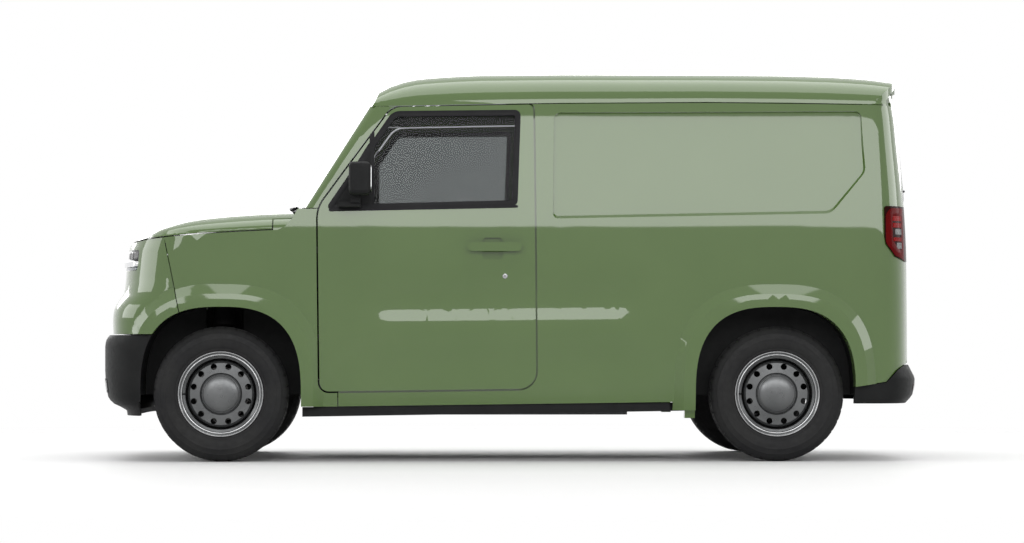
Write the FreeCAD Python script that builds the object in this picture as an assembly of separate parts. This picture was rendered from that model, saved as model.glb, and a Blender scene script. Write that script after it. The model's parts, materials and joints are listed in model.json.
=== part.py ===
import FreeCAD, Part
import math
import os
from FreeCAD import Vector

os.makedirs("parts", exist_ok=True)

# Frame: millimetres, +Z up, ground at z = 0, front of the van toward -X, left side toward -Y.

# Main size
WHEELBASE = 2520.0
FRONT_AXLE_X = -1322.5
REAR_AXLE_X = FRONT_AXLE_X + WHEELBASE
TYRE_R = 306.0
AXLE_Z = TYRE_R
HALF_TRACK = 720.0
BODY_LEAN = 0.0105          # body lines rise toward the rear by this much per mm

# Plan shape of the shell
NOSE_START_X = -1400.0      # where the side starts to turn into the nose
NOSE_POWER = 3.0            # of the bonnet's outline
TAIL_START_X = 1600.0       # where the side starts to turn into the tail
TAIL_POWER = 3.5

# Panels and gaps
WALL = 55.0                 # whole thickness of a body side
FRONT_WALL = 45.0
ROOF_WALL = 32.0
SEAM = 7.5                  # gap round a door
SHUT = 4.0                  # gap between fixed panels
DOOR_SKIN = 18.0
DOOR_DEPTH = 78.0
REBATE = 15.0               # how far the door aperture steps in behind the door flange
DOOR_LAP = 27.0             # how far the door's inner box stays inside the door outline
GLASS = 5.0
SCREEN_T = 6.5
SCREEN_LIP = 14.0            # roof edge over the top of the screen
BONNET_T = 26.0
BONNET_REAR_X = -1073.0     # rear edge of the bonnet on the middle plane
BONNET_CORNER_Y = 752.0
SCREEN_SWEEP = 100.0        # how far the screen base runs back from the middle to the sides
RECESS = 16.0               # depth of the long hollow in the load-space side
LAMP_PROUD = 5.0
HANDLE_BOWL = 14.0
TAILGATE_T = 60.0
DOOR_GAP = 6.0              # gap round bonnet and tailgate
ROOF_FRONT_X = -655.0
ROOF_REAR_X = 1790.0
ROOF_BOW = 10.0
SCREEN_LOW_Z = 1150.0
SCUTTLE_HALF = 738.0
PILLAR_Y = 55.0             # width of the pillar seen from the front
PILLAR_T = 30.0
LINER_T = 6.0
FRONT_LINER_Y = 462.0       # inner wall of a front wheel housing
REAR_LINER_Y = 592.0
LOW_LINER_Z = 300.0
RAIL_Y0 = 402.0
RAIL_Y1 = 462.0
SPRING_Y = 432.0
TOWER_Z = 704.0
DOOR_PIN = (-843.0, -792.0)      # x, y of the hinge pins of the left door
DOOR_HINGE_Z = (560.0, 960.0)
BONNET_PIN = (-1060.0, 1140.0)   # x, z of the bonnet hinge
BONNET_HINGE_Y = 150.0
GATE_PIN = (1775.0, 1700.0)      # x, z of the tailgate hinge
GATE_HINGE_Y = 420.0
PIN_R = 4.0
PIN_FIT = 0.05
PIN_HALF = 45.0
NECK_T = 6.0                     # thickness of a swan neck
NECK_HALF = 15.0
SAIL_REAR_X = -664.0             # black corner of the door window that carries the mirror
SAIL_TOP_Z = 1340.0
TOW_HOLE_R = 6.5
TOW_HOLE_Y = 300.0
TOW_HOLE_Z = 410.0
BATTERY_LOW_Z = 205.0
COLUMN = (-590.0, -370.0, 1020.0)
COLUMN_DIR = (0.93, 0.0, 0.37)
WHEEL_R = 185.0
SEAT_Y = 370.0
FIT = 0.2                   # play round a part that is set into another

# Wheels
TYRE_W = 165.0
TIE_END_Y = 560.0           # tie rods end here, clear of the steered rims
RIM_R = 193.0
RIM_WELL_R = 166.0
VENT_N = 12
VENT_RING_R = 127.0
VENT_R = 14.0
CAP_R = 86.0
STUB_R = 28.0               # stub the wheel hub turns on
STUB_Y = 755.0

# Wheel arches
ARCH_A = 363.0              # half length of the arch opening
ARCH_H = 394.0              # height of the arch opening over the axle
ARCH_POWER = 2.7
FLARE_OUT = 840.0           # distance of the flare face from the middle plane
FLARE_STEPS = (0.97, 1.035, 1.15, 1.28)
FLARE_FOOT = 5.0            # how deep the flare's outer edge lies in the side
REAR_ARCH_SHIFT = -10.0

# Floor levels
CAB_FLOOR_Z = 370.0
LOAD_FLOOR_Z = 480.0
CAB_WALL_X = -905.0
CAB_HALF = 704.0
SCUTTLE_LOW_Z = 1096.0
LOAD_FLOOR_END_X = 1670.0
FLOOR_T = 40.0

# Steering
STEER_TOP = (560.0, 668.0)      # y, z of the upper pivot of the left knuckle
STEER_LOW = (668.0, 188.0)


def smooth_curve(table):
    """Monotone cubic through (u, value) pairs, as a function."""
    us = [p[0] for p in table]
    vs = [p[1] for p in table]
    n = len(us)
    d = [(vs[i + 1] - vs[i]) / (us[i + 1] - us[i]) for i in range(n - 1)]
    m = [d[0]] + [0.0] * (n - 2) + [d[-1]]
    for i in range(1, n - 1):
        if d[i - 1] * d[i] > 0:
            m[i] = 2 * d[i - 1] * d[i] / (d[i - 1] + d[i])

    def value(u):
        if u <= us[0]:
            return vs[0] + m[0] * (u - us[0])
        if u >= us[-1]:
            return vs[-1] + m[-1] * (u - us[-1])
        i = max(k for k in range(n - 1) if us[k] <= u)
        h = us[i + 1] - us[i]
        t = (u - us[i]) / h
        a = (1 + 2 * t) * (1 - t) ** 2
        b = t * (1 - t) ** 2
        c = t * t * (3 - 2 * t)
        e = t * t * (t - 1)
        return a * vs[i] + b * h * m[i] + c * vs[i + 1] + e * h * m[i + 1]

    return value


def ramp(u, lo, hi):
    t = min(1.0, max(0.0, (u - lo) / (hi - lo)))
    return t * t * (3 - 2 * t)


half_width = smooth_curve([(150, 745), (254, 778), (330, 791), (450, 799), (600, 804), (860, 806),
                           (1000, 803), (1150, 796), (1300, 784), (1450, 766), (1600, 739),
                           (1650, 727)])
nose_x = smooth_curve([(560, -1846), (640, -1848), (690, -1845), (735, -1824),
                       (772, -1804), (867, -1799), (960, -1790), (992, -1778), (1160, -1700)])
nose_power = smooth_curve([(200, 4.6), (640, 4.6), (700, 4.2), (840, 3.1), (960, 3.0), (1200, 3.0)])
tail_x = smooth_curve([(250, 1843), (436, 1846), (897, 1843), (1189, 1830), (1340, 1816),
                       (1463, 1803), (1591, 1790), (1691, 1769)])
roof_edge_z = smooth_curve([(-700, 1610), (-505, 1614), (123, 1627), (917, 1634), (1749, 1624)])
roof_top_z = smooth_curve([(-655, 1671), (-600, 1712), (-560, 1733), (-500, 1755), (-450, 1767),
                           (-330, 1779), (-140, 1789), (230, 1793), (885, 1793), (1260, 1790),
                           (1448, 1785), (1640, 1773), (1790, 1752)])
bonnet_edge_z = smooth_curve([(-1800, 982), (-1760, 992), (-1669, 1009), (-1583, 1017),
                              (-1419, 1031), (-1066, 1050), (-900, 1056)])
bonnet_rise = smooth_curve([(-1790, 8), (-1754, 12), (-1699, 30), (-1583, 76), (-1419, 98),
                            (-1145, 106), (-950, 104)])
screen_x = smooth_curve([(1100, -1076), (1182, -1023), (1290, -947), (1447, -843), (1637, -693),
                         (1700, -642)])


def sculpt(x, row):
    """Depth of the two long hollows low in the door and the side panel."""
    upper = ramp(x, -800, -560) * (1 - ramp(x, 480, 680))
    lower = ramp(x, -850, -640) * (1 - ramp(x, 480, 730))
    d = 0.0
    if 601 < row < 880:
        d += upper * 14 * ((row - 601) / 124.0 if row < 725 else 1 - ramp(row, 725, 880))
    if 335 < row < 601:
        d += lower * 11 * ((row - 335) / 102.0 if row < 437 else (601 - row) / 164.0)
    return d


def side_z(x, row):
    """Height of a body line at station x."""
    return row + BODY_LEAN * x * ramp(row, 250, 400) * (1 - ramp(row, 900, 1150))


def side_point(x, row, depth=0.0):
    """Point of the left side, or of its inner face at depth, which leaves out the hollows."""
    z = side_z(x, row)
    inset = depth if depth > 0 else sculpt(x, row) + depth
    return Vector(x, -(half_width(z) - inset), z)


def nose_share(a, z):
    """Shares of reach and width at angle a round the nose corner, 0 at the side, 90 in front."""
    p = 2 / nose_power(z)
    c = max(0.0, math.cos(math.radians(a)))
    return math.sin(math.radians(a)) ** p, c ** p if a < 90 else 0.0


def nose_point(a, z, depth=0.0):
    fx, fy = nose_share(a, z)
    reach = NOSE_START_X - nose_x(z) - depth
    return Vector(NOSE_START_X - reach * fx, -(half_width(z) - depth) * fy, z)


def tail_point(fx, fy, z, depth=0.0):
    reach = tail_x(z) - TAIL_START_X - depth
    return Vector(TAIL_START_X + reach * fx, -(half_width(z) - depth) * fy, z)


def flipped(lines):
    return [[Vector(p.x, -p.y, p.z) for p in line] for line in reversed(lines)]


def corner_stations(power, along, across):
    """(fx, fy) pairs round a rounded corner from the side to the middle plane."""
    pairs = [(f, (1 - f ** power) ** (1 / power)) for f in along]
    return pairs + [((1 - f ** power) ** (1 / power), f) for f in across]


TAIL_STATIONS = corner_stations(TAIL_POWER, (0.2, 0.35, 0.5, 0.64, 0.75), (0.8, 0.7))


NOSE_ANGLES = (0, 3.3, 9.5, 15.8, 23.4, 30.8, 37.7, 44.3, 54, 64, 73, 80.5, 86.7)


def spacing(lines):
    """Running mean distance between neighbouring lines of points."""
    out = [0.0]
    for a, b in zip(lines, lines[1:]):
        out.append(out[-1] + sum((p - q).Length for p, q in zip(a, b)) / len(a))
    return out


def curve_through(points, params):
    curve = Part.BSplineCurve()
    curve.interpolate(Points=points, Parameters=params)
    return curve


def face_of(rows):
    """Cubic surface through a grid of points, spaced by the distance between them."""
    cols = [list(c) for c in zip(*rows)]
    us = spacing(rows)
    vs = spacing(cols)
    along = [curve_through(line, vs) for line in rows]
    across = [curve_through(list(line), us) for line in zip(*[c.getPoles() for c in along])]
    poles = [list(line) for line in zip(*[c.getPoles() for c in across])]
    surf = Part.BSplineSurface()
    surf.buildFromPolesMultsKnots(poles, across[0].getMultiplicities(), along[0].getMultiplicities(),
                                  across[0].getKnots(), along[0].getKnots(), False, False,
                                  across[0].Degree, along[0].Degree)
    return surf


def shell_between(rows_a, rows_b):
    a = face_of(rows_a)
    b = face_of(rows_b)
    faces = [a.toShape(), b.toShape()]
    for p, q in zip(rim_curves(a), rim_curves(b)):
        faces.append(Part.makeRuledSurface(p.toShape(), q.toShape()))
    shell = Part.makeShell(faces)
    shell.sewShape()
    solid = Part.makeSolid(shell)
    if solid.Volume < 0:
        solid.reverse()
    return solid


def strip_solid(sections):
    """Solid with straight strips between closed sections, each a curve and its chord."""
    wires = []
    for points in sections:
        curve = Part.BSplineCurve()
        curve.interpolate(points)
        wires.append(Part.Wire([curve.toShape(), Part.makeLine(points[-1], points[0])]))
    return Part.makeLoft(wires, True, True)


def rim_curves(surf):
    u0, u1, v0, v1 = surf.bounds()
    return [surf.uIso(u0), surf.vIso(v1), surf.uIso(u1), surf.vIso(v0)]


def box(x0, x1, y0, y1, z0, z1):
    return Part.makeBox(x1 - x0, y1 - y0, z1 - z0, Vector(x0, y0, z0))


def rod(p, q, r):
    p = Vector(*p)
    q = Vector(*q)
    return Part.makeCylinder(r, (q - p).Length, p, q - p)


def rounded(points):
    """Closed outline from (a, b, r) corners, as line and arc data."""
    n = len(points)
    parts = []
    for i in range(n):
        p = Vector(points[i][0], points[i][1], 0)
        a = Vector(points[i - 1][0], points[i - 1][1], 0) - p
        b = Vector(points[(i + 1) % n][0], points[(i + 1) % n][1], 0) - p
        a.normalize()
        b.normalize()
        r = points[i][2] if len(points[i]) > 2 else 0
        if r <= 0:
            parts.append((p, None, p))
            continue
        half = a.getAngle(b) / 2
        cut = r / math.tan(half)
        mid = a + b
        mid.normalize()
        centre = p + mid * (r / math.sin(half))
        parts.append((p + a * cut, centre - mid * r, p + b * cut))
    return parts


def outline(points, place):
    """Wire of a rounded outline; place maps (a, b) to a point in space."""
    parts = rounded(points)
    edges = []
    n = len(parts)
    for i in range(n):
        start, mid, end = parts[i]
        if mid is not None:
            edges.append(Part.Arc(place(start), place(mid), place(end)).toShape())
        nxt = parts[(i + 1) % n][0]
        if (nxt - end).Length > 0.01:
            edges.append(Part.LineSegment(place(end), place(nxt)).toShape())
    return Part.Wire(Part.__sortEdges__(edges))


def side_prism(points, y0, y1, grow=0.0):
    """Solid from an outline in the XZ plane, from y0 to y1."""
    wire = outline(points, lambda p: Vector(p.x, y0, p.y))
    if grow:
        wire = wire.makeOffset2D(grow)
    return Part.Face(wire).extrude(Vector(0, y1 - y0, 0))


def front_prism(points, x0, x1, grow=0.0):
    """Solid from an outline in the YZ plane, from x0 to x1."""
    wire = outline(points, lambda p: Vector(x0, p.x, p.y))
    if grow:
        wire = wire.makeOffset2D(grow)
    return Part.Face(wire).extrude(Vector(x1 - x0, 0, 0))


def mirror(shape):
    return shape.mirror(Vector(0, 0, 0), Vector(0, 1, 0))


def pair(shape):
    return [shape, mirror(shape)]


def solids_of(shape):
    return sorted(shape.Solids, key=lambda s: -s.Volume)


def biggest(shape):
    return solids_of(shape)[0]


def write(name, shapes):
    if not isinstance(shapes, list):
        shapes = [shapes]
    solids = []
    for s in shapes:
        solids += s.Solids
    solids = [s for s in solids if s.Volume > 50]
    out = solids[0] if len(solids) == 1 else Part.makeCompound(solids)
    out.exportStep("parts/%s.step" % name)
    bad = [i for i, s in enumerate(solids) if not s.isValid()]
    print(name, len(solids), "solids", round(sum(s.Volume for s in solids) / 1e6, 2), "litres",
          "INVALID %s" % bad if bad else "")


# Outlines of the left side, as (x, z, corner radius)
DOOR = [(-876, 317, 42), (104, 330, 80), (92, 1623, 25), (-548, 1610, 90), (-886, 1146, 150)]
WINDOW = [(-848, 1141, 14), (-545, 1587, 60), (31, 1594, 22), (15, 1163, 20)]
SEAM_NOSE = [(698.0, -1513.0), (1016.0, -1581.0)]
REAR_BUMPER_SIDE = [(1551, 262), (1900, 262), (1900, 438), (1790, 438), (1751, 414), (1695, 357),
                    (1551, 336)]
TOW_BEAM = (1720.0, 1770.0, 640.0)   # front face, rear face and half length of the rear cross beam


def bonnet_seam(shift):
    """Line between bonnet and wing, seen from the side, moved up by shift."""
    pts = [(x, bonnet_edge_z(x) + shift) for x in (-1950, -1800, -1740, -1669, -1583, -1419, -1250)]
    return pts + [(-1066, 1050 + shift), (-1032, 1066 + shift), (-1000, 1104 + shift),
                  (-976, 1146 + shift)]


def arch_outline(x0, scale, drop=400.0, shift=0.0, grow=0.0, count=17):
    """Points of the arch squircle round the wheel at x0, from front foot to rear foot."""
    pts = [(x0 + shift - ARCH_A * scale - grow, AXLE_Z - drop)]
    for k in range(count):
        a = math.pi * k / (count - 1)
        c = math.cos(a)
        s = math.sin(a)
        e = 2 / ARCH_POWER
        px = -math.copysign(abs(c) ** e, c) * (ARCH_A * scale + grow)
        pz = abs(s) ** e * (ARCH_H * scale + grow)
        pts.append((x0 + shift + px, AXLE_Z + pz))
    pts.append((x0 + shift + ARCH_A * scale + grow, AXLE_Z - drop))
    return pts


def arch_prism(x0, y0, y1, shift=0.0, grow=0.0):
    pts = [Vector(x, y0, z) for x, z in arch_outline(x0, 1.0, shift=shift, grow=grow)]
    top = Part.BSplineCurve()
    top.interpolate(pts[1:-1])
    wire = Part.Wire([Part.LineSegment(pts[0], pts[1]).toShape(), top.toShape(),
                      Part.LineSegment(pts[-2], pts[-1]).toShape(),
                      Part.LineSegment(pts[-1], pts[0]).toShape()])
    return Part.Face(wire).extrude(Vector(0, y1 - y0, 0))


def body_half_y(x, z):
    """Half width of the plain shell at station x, with the nose and tail turned in."""
    w = half_width(z)
    if x < NOSE_START_X:
        f = min(0.999, (NOSE_START_X - x) / (NOSE_START_X - nose_x(z)))
        return w * (1 - f ** nose_power(z)) ** (1 / nose_power(z))
    if x > TAIL_START_X:
        f = min(0.999, (x - TAIL_START_X) / (tail_x(z) - TAIL_START_X))
        return w * (1 - f ** TAIL_POWER) ** (1 / TAIL_POWER)
    return w


def flare(x0, shift, foot_front, foot_rear):
    """Raised band round a wheel arch, left side, lofted through sections set round the arch."""
    sections = []
    angles = [0, 12, 24, 36, 50, 64, 78, 90, 102, 116, 130, 144, 156, 168, 180]
    e = 2 / ARCH_POWER
    stations = []
    if foot_front is None:
        angles = [26] + angles[3:]
    else:
        stations.append((-1.0, (foot_front - AXLE_Z) / ARCH_H))
    for a in angles:
        c = math.cos(math.radians(a))
        s = math.sin(math.radians(a))
        stations.append((-math.copysign(abs(c) ** e, c), abs(s) ** e))
    stations.append((1.0, (foot_rear - AXLE_Z) / ARCH_H))
    for ux, uz in stations:
        pts = []
        for k, step in enumerate(FLARE_STEPS):
            grow_z = step if uz > 0 else 1.0
            x = x0 + shift + ux * ARCH_A * step
            z = AXLE_Z + uz * ARCH_H * grow_z
            plain = body_half_y(x, z)
            raised = min(FLARE_OUT, plain + 36) if x > NOSE_START_X else plain + 34
            y = (raised - 4, raised, raised - 4, plain - FLARE_FOOT)[k]
            pts.append(Vector(x, -y, z))
        deep_out = Vector(pts[3].x, pts[3].y + 20, pts[3].z)
        deep_in = Vector(pts[0].x, -(body_half_y(pts[0].x, pts[0].z) - 20), pts[0].z)
        sections.append(Part.makePolygon([*pts, deep_out, deep_in, pts[0]]))
    return Part.makeLoft(sections, True, False)


ROWS_PLAIN = [250, 400, 600, 860, 1010, 1150, 1300, 1450, 1600, 1660]
ROWS_LOW = [196, 225, 252, 290, 335, 385, 429, 437, 445, 520, 593, 601, 609, 660, 712, 725, 740,
            800, 860, 930]
ROWS_HIGH = [1010, 1080, 1150, 1230, 1300, 1375, 1450, 1525, 1600, 1660]


SCULPT_X = (-960, -850, -780, -700, -630, -560, -300, 0, 250, 480, 560, 640, 730)


def side_grid(x0, x1, rows, depth):
    """Points of the left side from x0 to x1."""
    xs = [x0 + (x1 - x0) * k / 3.0 for k in range(4)]
    if len(rows) > len(ROWS_PLAIN):
        xs = [x0] + [x for x in SCULPT_X if x0 + 20 < x < x1 - 20]
        xs += [x for x in (1000, 1300, 1600) if x0 + 20 < x < x1 - 20] + [x1]
    return [[side_point(x, r, depth) for r in rows] for x in xs]


def side_slab(x0, x1, outer, inner, rows, tail=False):
    """Solid of the left side between two depths, and on round the tail corner if asked."""
    plain = [rows[0]] + [r for r in ROWS_PLAIN if rows[0] < r < rows[-1]] + [rows[-1]]
    fine = rows if outer <= 0 else plain
    slab = shell_between(side_grid(x0, x1, fine, outer), side_grid(x0, x1, plain, inner))
    if tail:
        corners = []
        for depth in (outer, inner):
            shares = [(0, 1)] + TAIL_STATIONS
            corners.append([[tail_point(fx, fy, side_z(TAIL_START_X, r), depth) for r in plain]
                            for fx, fy in shares])
        slab = slab.fuse(shell_between(*corners))
    return slab


def nose_grid(rows, depth, angles, x_back=None):
    """Points of the left half of the nose, starting on the side at x_back."""
    grid = []
    if x_back is not None:
        for k in range(3):
            x = x_back + (NOSE_START_X - x_back) * k / 3.0
            grid.append([side_point(x, r, depth) for r in rows])
    heights = [side_z(NOSE_START_X, r) for r in rows]
    return grid + [[nose_point(a, z, depth) for z in heights] for a in angles]


def whole_nose(rows, depth, angles):
    left = nose_grid(rows, depth, angles)
    return left + nose_grid(rows, depth, [90]) + flipped(left)


def make_side_panel():
    rows = ROWS_LOW + ROWS_HIGH
    panel = side_slab(-830, TAIL_START_X, 0, WALL, rows, tail=True)
    top = [(x, roof_edge_z(x) - SHUT / 2) for x in (60, 300, 917, 1400, 1749, 1900)]
    keep = [(-792, 250), (778, 270), (778, 100), (1548, 100), (1548, 340), (1693, 361),
            (1749, 417), (1790, 440), (1900, 440)]
    keep = keep + list(reversed(top)) + [(60, 1560), (60, 420), (-792, 420)]
    arch = arch_prism(REAR_AXLE_X, -900, -600, shift=REAR_ARCH_SHIFT)
    panel = panel.common(side_prism(keep, -900, -300).cut(arch))
    panel = panel.fuse(flare(REAR_AXLE_X, REAR_ARCH_SHIFT, 232, 300).cut(arch))
    panel = panel.cut(side_prism(REAR_BUMPER_SIDE, -900, -300, grow=2))
    panel = panel.cut(door_flange_room())
    panel = panel.cut(box(1672, 1900, -642, 642, 200, 1700))
    panel = panel.cut(door_room())
    panel = panel.cut(recess())
    panel = panel.cut(lamp_cut(FIT))
    return biggest(panel)


def door_flange_room():
    """Room for the door's flange, one seam wider than the door."""
    front = side_slab(-960, 200, -60, DOOR_SKIN + 6, [150, 300, 700, 1100, 1400, 1700])
    return side_prism(DOOR, -900, -650, grow=SEAM).common(front)


def door_room():
    """Room behind the door flange for the inner box of the door, with clearance."""
    behind = side_slab(-960, 200, DOOR_SKIN + 6, 400, [150, 300, 700, 1100, 1400, 1700])
    return side_prism(DOOR, -860, -420, grow=-REBATE).common(behind)


def recess():
    """Cutter for the long hollow panel behind the door."""
    floor = side_slab(150, 1640, -60, RECESS, [1000, 1080, 1150, 1230, 1300, 1375, 1450, 1525, 1600])
    outer = [(176, 1078, 22), (1446, 1100, 70), (1628, 1316, 60), (1600, 1606, 30), (176, 1598, 30)]
    inner = [(192, 1172, 22), (1440, 1200, 60), (1562, 1318, 60), (1585, 1590, 30), (192, 1580, 30)]
    a = outline(outer, lambda p: Vector(p.x, -830, p.y))
    b = outline(inner, lambda p: Vector(p.x, -700, p.y))
    cutter = Part.makeLoft([a, b], True, True)
    return cutter.common(floor)


def lamp_cut(play):
    """Room for the tail lamp: everything behind its front line between two heights."""
    shape = side_prism([(1686 - play, 1020, 0), (1692 - play, 985, 0), (1738 - play, 930, 0),
                        (1800, 908 - play, 0), (1900, 904 - play, 0), (1900, 1160 + play, 0),
                        (1686 - play, 1160 + play, 12)], -900, -652 + play)
    return shape


def make_tail_lamp():
    lamp = side_slab(1560, TAIL_START_X, -LAMP_PROUD, WALL, [860, 900, 950, 1000, 1060, 1120, 1180],
                     tail=True)
    return biggest(lamp.common(lamp_cut(-FIT)))


def front_limit():
    """What belongs to the front panel and wings, seen from the side."""
    top = bonnet_seam(-SHUT / 2) + [(-850, 1146 - SHUT / 2)]
    return side_prism([(-2000, 577), (-1500, 577), (-1500, 400), (-1200, 249), (-796, 249),
                       (-796, 420), (-850, 420)] + list(reversed(top)), -900, 900)


def make_wing():
    """Left wing with its raised arch."""
    rows = [230, 400, 600, 735, 867, 960, 1050, 1150]
    angles = NOSE_ANGLES[:7]
    wing = shell_between(nose_grid(rows, 0, angles, -780), nose_grid(rows, FRONT_WALL, angles, -780))
    wing = wing.fuse(flare(FRONT_AXLE_X, 0, None, 246))
    wing = wing.common(front_limit())
    wing = wing.cut(arch_prism(FRONT_AXLE_X, -900, -600))
    wing = wing.cut([side_prism(DOOR, -900, -650, grow=SEAM), nose_split(SHUT / 2),
                     box(-1100, -960, -766, -700, 1030, 1160)])
    return biggest(wing)


def liner_room():
    """Room for the front wheel housings behind the skins of nose and bumper."""
    room = arch_prism(FRONT_AXLE_X, -762, -400, grow=LINER_T + 2 + FIT)
    return [room, mirror(room)]


def make_front_panel():
    """Nose panel from seam to seam, with the fronts of both raised arches."""
    fine = [560, 640, 690, 735, 772, 820, 867, 960, 1010]
    outer = whole_nose(fine, 0, NOSE_ANGLES[3:])
    lump = shell_between(outer, [[Vector(-1480, p.y, p.z) for p in line] for line in outer])
    inner = whole_nose([550, 700, 780, 867, 960, 1030], FRONT_WALL, NOSE_ANGLES[2::2])
    inner = [[Vector(-1400, p.y, p.z) for p in inner[0]]] + inner
    inner = inner + [[Vector(-1400, p.y, p.z) for p in inner[-1]]]
    nose = lump.cut(strip_solid([list(line) for line in zip(*inner)]))
    lift = flare(FRONT_AXLE_X, 0, None, 246)
    nose = nose.fuse([lift, mirror(lift)]).common(front_limit()).common(nose_split(-SHUT / 2))
    for y0, y1 in ((-900, -600), (600, 900)):
        nose = nose.cut(arch_prism(FRONT_AXLE_X, y0, y1))
    nose = nose.cut(liner_room())
    return biggest(nose)


def nose_split(shift):
    """Everything in front of the line between nose and wing."""
    (z0, x0), (z1, x1) = SEAM_NOSE
    t = (x1 - x0) / (z1 - z0)
    return side_prism([(-2100, 300), (x0 + (300 - z0) * t + shift, 300),
                       (x0 + (1200 - z0) * t + shift, 1200), (-2100, 1200)], -950, 950)


LAMP_BAND = [(-655, 868, 22), (655, 868, 22), (655, 962, 22), (-655, 962, 22)]


def make_lamp_band(outer, inner, play):
    """The dark band across the nose that holds both headlamps."""
    rows = [840, 915, 990]
    band = shell_between(whole_nose(rows, outer, NOSE_ANGLES[3:]),
                         whole_nose(rows, inner, NOSE_ANGLES[3::2]))
    return biggest(band.common(front_prism(LAMP_BAND, -1900, -1500, grow=play)))


def make_bonnet():
    """Bonnet skin, wrapped over the nose and down to the seam on each side."""
    fys = (0.0, 0.25, 0.5, 0.68, 0.8, 0.88, 0.94, 0.975, 0.992, 1.0)
    rows = []
    for fy in [-f for f in reversed(fys[1:])] + list(fys):
        fx = (1 - abs(fy) ** NOSE_POWER) ** (1 / NOSE_POWER)
        front = NOSE_START_X - (NOSE_START_X - nose_x(990) - 3) * fx
        rear = BONNET_REAR_X + SCREEN_SWEEP * fy * fy
        rows.append([bonnet_point(front + (rear - front) * s, fy)
                     for s in (0.0, 0.05, 0.13, 0.25, 0.4, 0.6, 0.8, 1.0)])
    low = [[Vector(p.x, p.y * 0.985, p.z - BONNET_T) for p in line] for line in rows]
    shell = shell_between(rows, low)
    seam = bonnet_seam(SHUT / 2 + 1.5)
    over = [(-2000, seam[0][1])] + seam + [(-960, 1160), (-960, 1300), (-2000, 1300)]
    shell = biggest(shell.common(side_prism(over, -900, 900)))
    corner = box(-1092, -900, -900, -BONNET_CORNER_Y, 900, 1300)
    eyes = [hinge_eye(BONNET_PIN, y, 12, BONNET_PIN[0] - 20, 8) for y in (-BONNET_HINGE_Y, BONNET_HINGE_Y)]
    return shell.cut([corner, mirror(corner)]).fuse(eyes)


def bonnet_point(x, fy):
    edge = bonnet_edge_z(x) + SHUT / 2
    f = max(0.0, (NOSE_START_X - x) / (NOSE_START_X - nose_x(1000)))
    q = min(1.0, (abs(fy) ** NOSE_POWER + min(1.0, f) ** NOSE_POWER) ** (1 / NOSE_POWER))
    lift = bonnet_rise(x) * (1 - q ** 4) ** 0.5
    y = fy * (half_width(edge) - 0.5)
    return Vector(x, y, edge + lift)


ROOF_POWER = 5.5
ROOF_T = [0.0, 0.25, 0.45, 0.62, 0.75, 0.85] + [math.cos(math.radians(a)) ** (2 / ROOF_POWER)
                                                for a in (38, 25, 12, 0)]


ROOF_STATIONS = (-685, -655, -610, -560, -500, -440, -380, -310, -240, -140, 230, 885, 1250, 1448, 1550,
                 1630, 1700, 1750, ROOF_REAR_X)
ROOF_CUT_Z = 1600.0


def roof_bow(x, t):
    """How far the roof's rounded front runs forward of its sides at the share t of the width."""
    return ROOF_BOW * (1 - t * t) * (1 - ramp(x, ROOF_FRONT_X, -300))


def roof_point(x, t, depth):
    x_in = x + roof_bow(x, t)
    edge = roof_edge_z(x_in) + SHUT / 2
    w = half_width(edge) + 1.0 - depth
    lift = (roof_top_z(x_in) - depth - edge) * math.sqrt(max(0.0, 1 - abs(t) ** ROOF_POWER))
    return Vector(x, t * w, edge + lift)


def roof_front_cut():
    """Everything in front of the screen's outer face, and the seat of the screen itself."""
    ahead = shell_between(screen_grid(-150, 90, 1.2), screen_grid(0, 90, 1.2))
    seat = shell_between(screen_grid(-2, FIT, 1.01), screen_grid(SCREEN_T + FIT, FIT, 1.01))
    return [ahead, seat]


def make_roof():
    """Roof skin from drip line to drip line, rounded over the rails, with the rear header."""
    across = [-t for t in reversed(ROOF_T[1:])] + ROOF_T
    lump = strip_solid([[roof_point(x, t, 0) for t in across] for x in ROOF_STATIONS])
    lining = [roof_lining(x) for x in (ROOF_FRONT_X - 40, -140, 1550, ROOF_REAR_X + 5)]
    roof = lump.cut(Part.makeLoft(lining, True, True))
    header = tail_slab(0, 50, [1600, 1640, 1690, 1740])
    header = header.common(box(1600, ROOF_REAR_X, -640, 640, 1640, 1725))
    header = header.cut(front_prism(TAILGATE, 1600, 1900, grow=DOOR_GAP))
    for y in (-GATE_HINGE_Y, GATE_HINGE_Y):
        header = header.cut(box(1700, 1900, y - 32, y + 32, 1600, GATE_PIN[1] + 14))
    roof = roof.cut(roof_front_cut()).common(tail_plan()).fuse([header] + gate_hinges())
    return biggest(roof)


def tail_plan():
    """Everything ahead of the roof's rear edge, which is rounded in plan like the tail."""
    half = half_width(1640) + 4
    line = [Vector(TAIL_START_X + (ROOF_REAR_X - TAIL_START_X) * fx, -half * fy, 1550)
            for fx, fy in [(0, 1)] + TAIL_STATIONS]
    line = line + [Vector(ROOF_REAR_X, 0, 1550)] + [Vector(p.x, -p.y, p.z) for p in reversed(line)]
    edge = Part.BSplineCurve()
    edge.interpolate(line)
    ends = [Vector(-800, half, 1550), Vector(-800, -half, 1550)]
    wire = Part.Wire([edge.toShape(), Part.makeLine(line[-1], ends[0]), Part.makeLine(ends[0], ends[1]),
                      Part.makeLine(ends[1], line[0])])
    return Part.Face(wire).extrude(Vector(0, 0, 350))


def gate_hinges():
    """Cheeks and pins of the tailgate hinges under the roof's rear edge."""
    x, z = GATE_PIN
    out = []
    for y in (-GATE_HINGE_Y, GATE_HINGE_Y):
        pin = rod((x, y - 26, z), (x, y + 26, z), PIN_R)
        cheeks = [box(x - 9, x + 9, y + d, y + d + 10, z - 7, z + 30) for d in (-26, 16)]
        out.append(pin.fuse(cheeks))
    return out


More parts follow.
